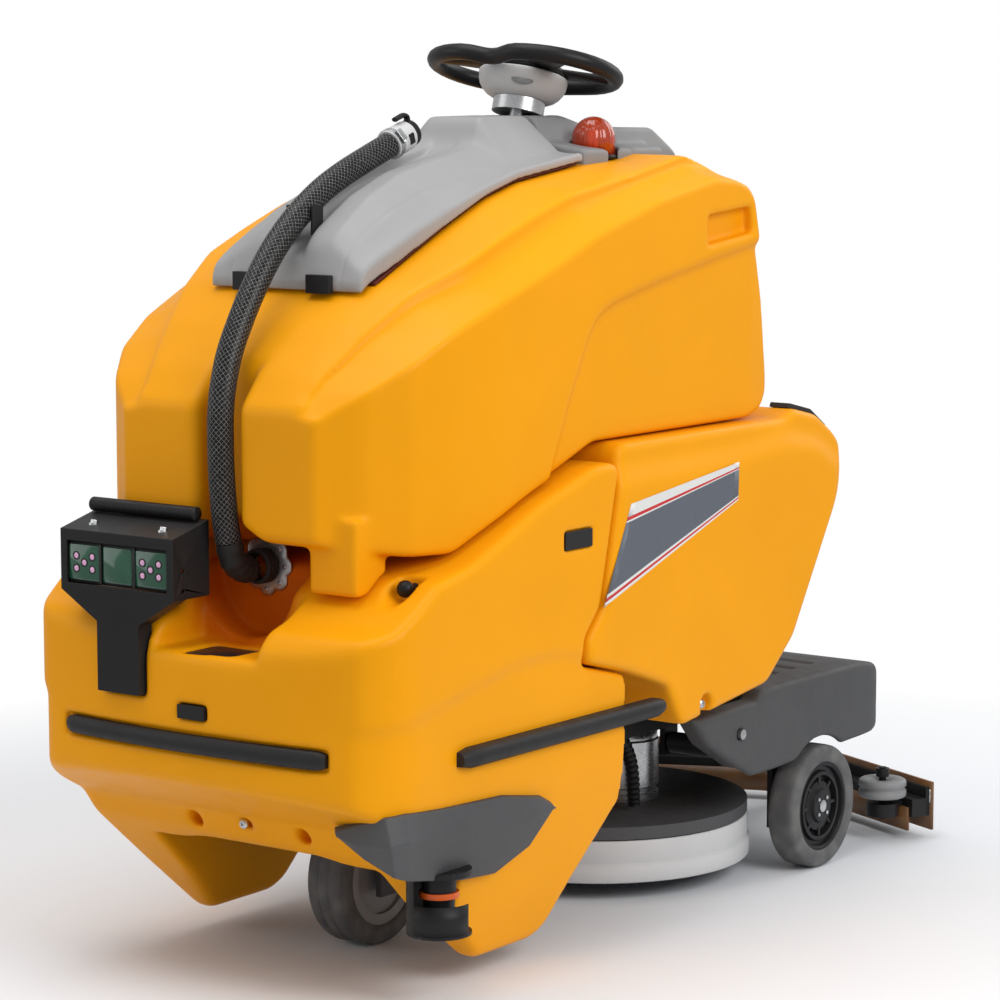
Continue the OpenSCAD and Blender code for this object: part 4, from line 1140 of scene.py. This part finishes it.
def decals():
    """Plain stripes where the machine carries its side decal."""
    outline = [(-206, 658), (87, 692), (85, 634), (-274, 515)]

    def spot(across, down):
        top = Vector(outline[0]).lerp(Vector(outline[1]), across)
        bottom = Vector(outline[3]).lerp(Vector(outline[2]), across)
        return top.lerp(bottom, down)

    bands = [(0, 0.13, 1), (0.13, 0.17, 2), (0.17, 0.19, 1), (0.19, 0.88, 0), (0.88, 0.92, 1),
        (0.92, 0.96, 2), (0.96, 1, 1)]
    shape = Shape()
    for side in (-1, 1):
        for top, bottom, mark in bands:
            for column in range(24):
                a = column / 24
                b = (column + 1) / 24
                corners = [spot(a, top), spot(b, top), spot(b, bottom), spot(a, bottom)]
                points = [(side * (BODY_HW + 0.45), c.x, c.y) for c in corners]
                points += [(side * (BODY_HW - 2.0), c.x, c.y) for c in corners]
                faces = [[0, 1, 2, 3]]
                if column in (0, 23):
                    faces += [[0, 4, 5, 1], [3, 2, 6, 7]]
                if side > 0:
                    faces = [face[::-1] for face in faces]
                shape.add(points, faces, None, mark)
    shape.piece("side_stripes", "machine", [DECAL_FIELD, DECAL_WHITE, DECAL_RED], (), "light_plastic")


def fasteners():
    """Screws and bolts seen on the covers."""
    heads = Shape()
    dome = [(0.01, 0), (7.4, 0), (7.2, 2), (5, 4), (3, 4.2), (2.8, 1.6), (0.01, 1.6)]
    heads.turn(dome, 24, on_y(0, -688, 228), False)
    for side in (-1, 1):
        turn = spin(side * math.pi / 2, "Y")
        heads.turn(dome, 24, shift(side * 318.0, 4, 330) @ turn, False)
        heads.turn(dome, 24, shift(side * 299.0, 150, 257) @ turn, False)
    heads.piece("cover_screws", "machine", STEEL, (), "steel", 0.2)


def scanner_guard():
    """The dark faceted guard that wraps the front corner over the scanner."""
    top = [(212, -745, 257), (262, -758, 274), (312, -762, 290), (327, -736, 292), (329, -660, 286),
        (330, -521, 280), (331, -430, 263), (331, -400, 247)]
    ridge = [(215, -749, 251), (262, -764, 246), (326, -768, 254), (338, -742, 257), (338, -628, 245),
        (338, -526, 228), (336, -440, 240), (332, -398, 243)]
    low = [(217, -742, 246), (262, -742, 222), (318, -750, 206), (326, -730, 199), (317, -600, 174),
        (313, -516, 167), (322, -446, 194), (331, -402, 239)]
    inward = 18.0
    points = []
    for high, middle, under in zip(top, ridge, low):
        points += [(high[0] - inward, high[1] + inward, high[2]), high, middle, under, (under[0] - inward,
            under[1] + inward, under[2] + 4.0)]
    faces = rings_to_faces(len(top), 5)
    Shape().add(points, faces).piece("scanner_guard_shell", "machine", DARK, ["scanner_guard"],
        "dark_plastic", 3.0)


def scanner_plate():
    """The curved black plate that guards the lower half of the scanner, and the liner of the front slot."""
    points = []
    steps = 28
    for step in range(steps + 1):
        turn = math.radians(-165.0 + 175.0 * step / steps)
        for radius, height in ((44, 106), (45.4, 106), (45.4, 150), (44, 150)):
            points.append((radius * math.cos(turn), radius * math.sin(turn), height))
    plate = Shape().add(points, rings_to_faces(steps + 1, 4), Matrix.Translation(SCANNER))
    plate.piece("scanner_plate", "machine", PAINT, (), "black_paint")
    liner = Shape().plate((42, 35, 8), (463.0, 486.0, 1.0), shift(26, -759, 0))
    liner.piece("slot_liner", "machine", BLACK, (), "black_plastic")


# ---- Wheels ----

def rear_wheel(side, name):
    """One rear wheel: tyre, spoked disc and cap with its bolts; side is 1 or -1."""
    body = name + "_wheel"
    place = along_x(REAR_AXLE, side * 280.0)
    if side < 0:
        place = place @ spin(math.pi, "X")
    tyre = [(72.2, -23.6), (92, -24), (97, -22), (99.4, -18), (100, -10), (100, 10), (99.4, 18), (97, 22),
        (92, 24), (86, 23.4), (84, 24), (76, 23.8), (72.2, 22)]
    Shape().turn(tyre, 96, place).piece(name + "_tyre_tread", body, TYRE, [name + "_rear_tyre"], "grey_tyre")
    disc = [(10.2, -21), (71.8, -21), (71.8, 21), (68, 21.5), (66, 20), (64, 13), (58, 12), (56, 18),
        (50, 18.6), (48, 8), (42, 7), (40, 14), (28, 16), (26, 20.5), (24, 21.5), (10.2, 21.5)]
    wheel = Shape().turn(disc, 96, place)
    for turn in turns(8):
        spoke = place @ spin(turn, "Z") @ shift(46, 0, 11)
        wheel.plate((11, 2.6, 1.2), (-4.0, 4.5, 0.8), spoke)
    wheel.piece(name + "_wheel_disc", body, BLACK, [name + "_rear_wheel"], "black_plastic", 0.5)
    cap = Shape().turn([(0.01, 21), (9.9, 21), (9.9, 23), (8, 23.8), (0.01, 23.9)], 32, place, False)
    for index in range(4):
        turn = math.pi / 4 + math.pi / 2 * index
        bolt = place @ shift(17.5 * math.cos(turn), 17.5 * math.sin(turn), 21.0)
        cap.turn([(0.01, 0), (3.4, 0), (3.4, 2.4), (0.01, 2.6)], 6, bolt, False)
    cap.piece(name + "_wheel_cap", body, STEEL, (), "steel", 0.2)


def drive_wheel():
    """The grooved tyre of the driven wheel."""
    place = along_x(DRIVE_AXLE)
    tyre = [(75.2, -32.6), (97, -33), (103, -29), (105, -22), (105, -12), (103.6, -10.6), (103.6, -8.6),
        (105, -7.2), (105, 7.2), (103.6, 8.6), (103.6, 10.6), (105, 12), (105, 22), (103, 29), (97, 33),
        (75.2, 32.6)]
    Shape().turn(tyre, 96, place).piece("drive_tyre_tread", "drive_wheel", TYRE, ["drive_tyre"], "grey_tyre")


# ---- Brush deck ----

def deck():
    """The brush deck's skirt, motor, bristles and conduit."""
    centre = shift(0, DECK_Y, 0)
    lower = [(242, 30), (248.4, 30), (250, 32), (250, 56), (248.6, 58.4), (247, 59.2), (246.4, 60.6),
        (247, 62), (247, 92), (245.6, 95.4), (242, 96.6)]
    Shape().turn(lower, 160, centre).piece("deck_skirt_bands", "deck", LIGHT, ["deck_skirt"], "light_plastic")
    motor = shift(40, DECK_Y + 20, 118)
    can = [(0.01, 0), (58, 0), (58, 10), (55, 12), (55, 20), (58, 22), (58, 96), (56, 99), (56, 108),
        (50, 118), (30, 120), (0.01, 120)]
    drum = Shape().turn(can, 72, motor, False)
    drum.turn([(0.01, 118.2), (43.8, 118.2), (43.8, 150), (40, 156), (0.01, 157)], 64, centre, False)
    for turn in turns(24):
        fin = motor @ spin(turn, "Z") @ shift(56.4, 0, 60)
        drum.plate((1.5, 1.4, 0.6), (-32.0, 32.0, 1.0), fin)
    drum.piece("brush_motor_can", "deck", STEEL, ["brush_motor"], "steel", 0.4)
    rng = np.random.default_rng(7)
    tufts = Shape()
    for radius, count in ((226, 84), (208, 76), (188, 66), (164, 56), (140, 48)):
        for even_turn in turns(count):
            turn = even_turn + rng.uniform(-0.01, 0.01)
            lean = rng.uniform(0, 4)
            foot = (radius * math.cos(turn), radius * math.sin(turn))
            tip = ((radius + lean) * math.cos(turn), (radius + lean) * math.sin(turn))
            path = [(foot[0], foot[1], 64.0), (foot[0], foot[1], 46.0), (tip[0], tip[1], 24.4)]
            tufts.add(*tube(path, [4.4, 4.8, 6.0], 7), centre)
    tufts.piece("brush_tufts", "brush", BRISTLE, ["brush_bristles"], "brush_plastic")
    path = spline([(118, 120, 128), (122, 112, 160), (128, 96, 200), (132, 70, 236), (130, 40, 262)], 16)
    swell = [11.0 if index % 4 < 2 else 9.2 for index in range(len(path))]
    Shape().add(*tube(path, swell, 20)).piece("deck_conduit", "deck", BLACK, (), "black_plastic")


# ---- Squeegee ----

def squeegee_line(offset, short=0.0, steps=24):
    """Points (x, y) along the squeegee at a distance in front of its rear line."""
    radius = CURVE_R - offset
    line = []
    for step in range(6):
        share = 1.0 - step / 6
        along = (WING - short) * share
        base = Vector((-radius * math.sin(SWEEP), CURVE_Y + radius * math.cos(SWEEP)))
        line.append(base + along * Vector((-math.cos(SWEEP), -math.sin(SWEEP))))
    for step in range(steps + 1):
        turn = -SWEEP + 2 * SWEEP * step / steps
        line.append(Vector((radius * math.sin(turn), CURVE_Y + radius * math.cos(turn))))
    mirrored = [Vector((-p.x, p.y)) for p in line[:6]]
    return line + mirrored[::-1]


def strip_along(section, short):
    """Sweeps a closed section of (distance in front, height) along the squeegee."""
    rows = [squeegee_line(offset, short) for offset, _ in section]
    points = []
    for index in range(len(rows[0])):
        for row, (_, height) in zip(rows, section):
            points.append((row[index].x, row[index].y, height))
    return points, rings_to_faces(len(rows[0]), len(section))


def squeegee():
    """The two blades, their clamp band and the two bumper rollers."""
    blades = Shape()
    blades.add(*strip_along([(0.2, 16.2), (0.2, 97), (1, 98), (4.2, 98), (4.9, 97), (4.9, 16.2)], 0.3))
    blades.add(*strip_along([(40.2, 16.2), (40.2, 55.6), (44.8, 55.6), (44.8, 16.2)], 14))
    blades.piece("squeegee_rubber", "squeegee", AMBER, ["squeegee_blades"], "amber_rubber")
    band = Shape().add(*strip_along([(0.4, 62), (0.1, 66), (0.1, 80), (0.4, 84), (5.2, 84), (5.2, 62)], 3))
    band.piece("squeegee_clamp_band", "squeegee", STEEL, (), "steel")
    for side, name in ((1, "left"), (-1, "right")):
        place = shift(side * 281.82, 623.40, 0)
        roller = [(6.3, 74), (37, 74), (39.6, 76), (40, 79), (40, 85), (37, 87), (37, 91), (40, 93), (40, 99),
            (39, 102), (36, 104), (20, 104), (18, 101), (6.3, 101)]
        wheel = Shape().turn(roller, 72, place)
        wheel.piece(name + "_roller_wheel", name + "_roller", GREY, [name + "_roller"], "light_plastic")


# ---- Dash ----

def dash():
    """The dash's keys and screen, and the stop button."""
    keys = Shape()
    for row in (-14, 4):
        for column in (-38, -24, 24, 38):
            keys.plate((5, 6, 1.6), (0.8, 2.6, 0.6), at_dash() @ shift(column, row, 0))
    keys.piece("dash_keys", "machine", LIGHT, (), "light_plastic")
    button = [(0.01, -20), (8, -20), (8, 1), (15.6, 1.4), (17, 3.4), (16, 6.4), (10, 8.6), (0.01, 9.2)]
    mushroom = Shape().turn(button, 48, at_dash() @ shift(78, 0, 0), False)
    mushroom.piece("stop_mushroom", "stop_button", RED, ["stop_button"], "red_plastic")
    screen = Shape().plate((15, 17, 2), (0.9, 1.8, 0.3), at_dash())
    screen.piece("dash_screen", "machine", GREEN_LENS, (), "green_window")


# ---- CAD nodes that stay ----

def dress():
    """Gives each CAD node that still shows its material, and rounds its sharp edges."""
    kept = {"chassis_frame": (PAINT, 1.5), "battery_pack": (BLACK, 2.0), "fill_cap": (BLACK, 1.5),
        "corner_guards": (BUMPER, 1.5), "tank_latch_knob": (BLACK, 0.8), "vacuum_motor": (STEEL, 1.5),
        "dash_panel": (BLACK, 0.8), "key_switch": (STEEL, 0.5), "lid_hinge_pin": (STEEL, 0.3),
        "sensor_bracket": (PAINT, 0.9), "proximity_windows": (BLACK, 0.8), "scanner_bracket": (PAINT, 0.8),
        "scanner_unit": (BLACK, 0.8), "scanner_ring": (RING, 0.8), "axle_brackets": (PAINT, 1.2),
        "body_screws": (STEEL, 0.6), "lid_seal": (SEAL, 0.5), "hose_clip": (BLACK, 0.5),
        "lid_latches": (BLACK, 1.2), "steering_shaft": (STEEL, 0.8), "steer_bearing": (STEEL, 0.8),
        "drive_fork": (DARK_PAINT, 1.5), "drive_motor": (PAINT, 1.5), "drive_hub": (GREY, 1.2),
        "deck_housing": (DARK, 2.0), "brush_disc": (DARK, 1.0), "squeegee_arm": (DARK_PAINT, 1.5),
        "squeegee_body": (BLACK, 1.0)}
    for name, (material, width) in kept.items():
        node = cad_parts[name]
        if not node.material_slots:
            node.data.materials.append(material)
        for entry in node.material_slots:
            entry.material = material
        add_bevel(node, width)


# ---- Stage ----

def stage():
    """A pale floor, a white surround and soft studio lights."""
    floor_mesh = bpy.data.meshes.new("floor")
    half = 3.0
    corners = [(-half, -half, 0), (half, -half, 0), (half, half, 0), (-half, half, 0)]
    floor_mesh.from_pydata(corners, [], [[0, 1, 2, 3]])
    floor = bpy.data.objects.new("floor", floor_mesh)
    floor.location.z = -0.0005
    bpy.context.collection.objects.link(floor)
    n = Nodes("floor")
    patches = n.span(n.noise(0.6, 2.0), 0.3, 0.7)
    n.link(n.mix(patches, (0.78, 0.80, 0.83, 1.0), (0.80, 0.82, 0.85, 1.0)), "Base Color")
    n.set(Roughness=0.9, Specular_IOR_Level=0.1)
    split = n.add("SeparateXYZ", {"Vector": n.coords.outputs["Object"]})
    squared = n.math("ADD", n.math("POWER", n.math("ABSOLUTE", split.outputs["X"]), 2.0), n.math("POWER",
        n.math("ABSOLUTE", split.outputs["Y"]), 2.0))
    # The floor fades out between about 1.1 and 1.9 m from the middle.
    n.link(n.span(squared, 1.2, 3.6, 1.0, 0.0), "Alpha")
    floor_mesh.materials.append(n.material)
    world = bpy.data.worlds.new("surround")
    world.use_nodes = True
    tree = world.node_tree
    back = tree.nodes["Background"]
    back.inputs["Color"].default_value = (1.0, 1.0, 1.0, 1.0)
    seen = tree.nodes.new("ShaderNodeLightPath")
    level = tree.nodes.new("ShaderNodeMapRange")
    level.inputs["To Min"].default_value = 0.5
    level.inputs["To Max"].default_value = 1.0
    tree.links.new(seen.outputs["Is Camera Ray"], level.inputs["Value"])
    tree.links.new(level.outputs["Result"], back.inputs["Strength"])
    bpy.context.scene.world = world
    lights = [("key", (4.2, -0.8, 3.0), 2.6, 120.0), ("top", (-0.4, -1.0, 4.6), 3.5, 105.0),
        ("fill", (-3.6, -3.6, 2.2), 3.0, 30.0), ("back", (1.0, 4.5, 3.0), 3.0, 50.0)]
    for name, place, size, power in lights:
        data = bpy.data.lights.new(name, "AREA")
        data.size = size
        data.energy = power
        lamp = bpy.data.objects.new(name, data)
        lamp.location = place
        aim = Vector((0.0, -0.1, 0.6)) - Vector(place)
        lamp.rotation_euler = aim.to_track_quat("-Z", "Y").to_euler()
        bpy.context.collection.objects.link(lamp)
    bpy.context.scene.view_settings.view_transform = "Standard"


recovery_tank()
front_fairing()
solution_tank()
lid()
console()
platform()
drain_fitting()
steering()
beacon()
sensor_head()
bumpers()
decals()
fasteners()
scanner_guard()
scanner_plate()
rear_wheel(1, "left")
rear_wheel(-1, "right")
drive_wheel()
deck()
squeegee()
dash()
dress()
stage()
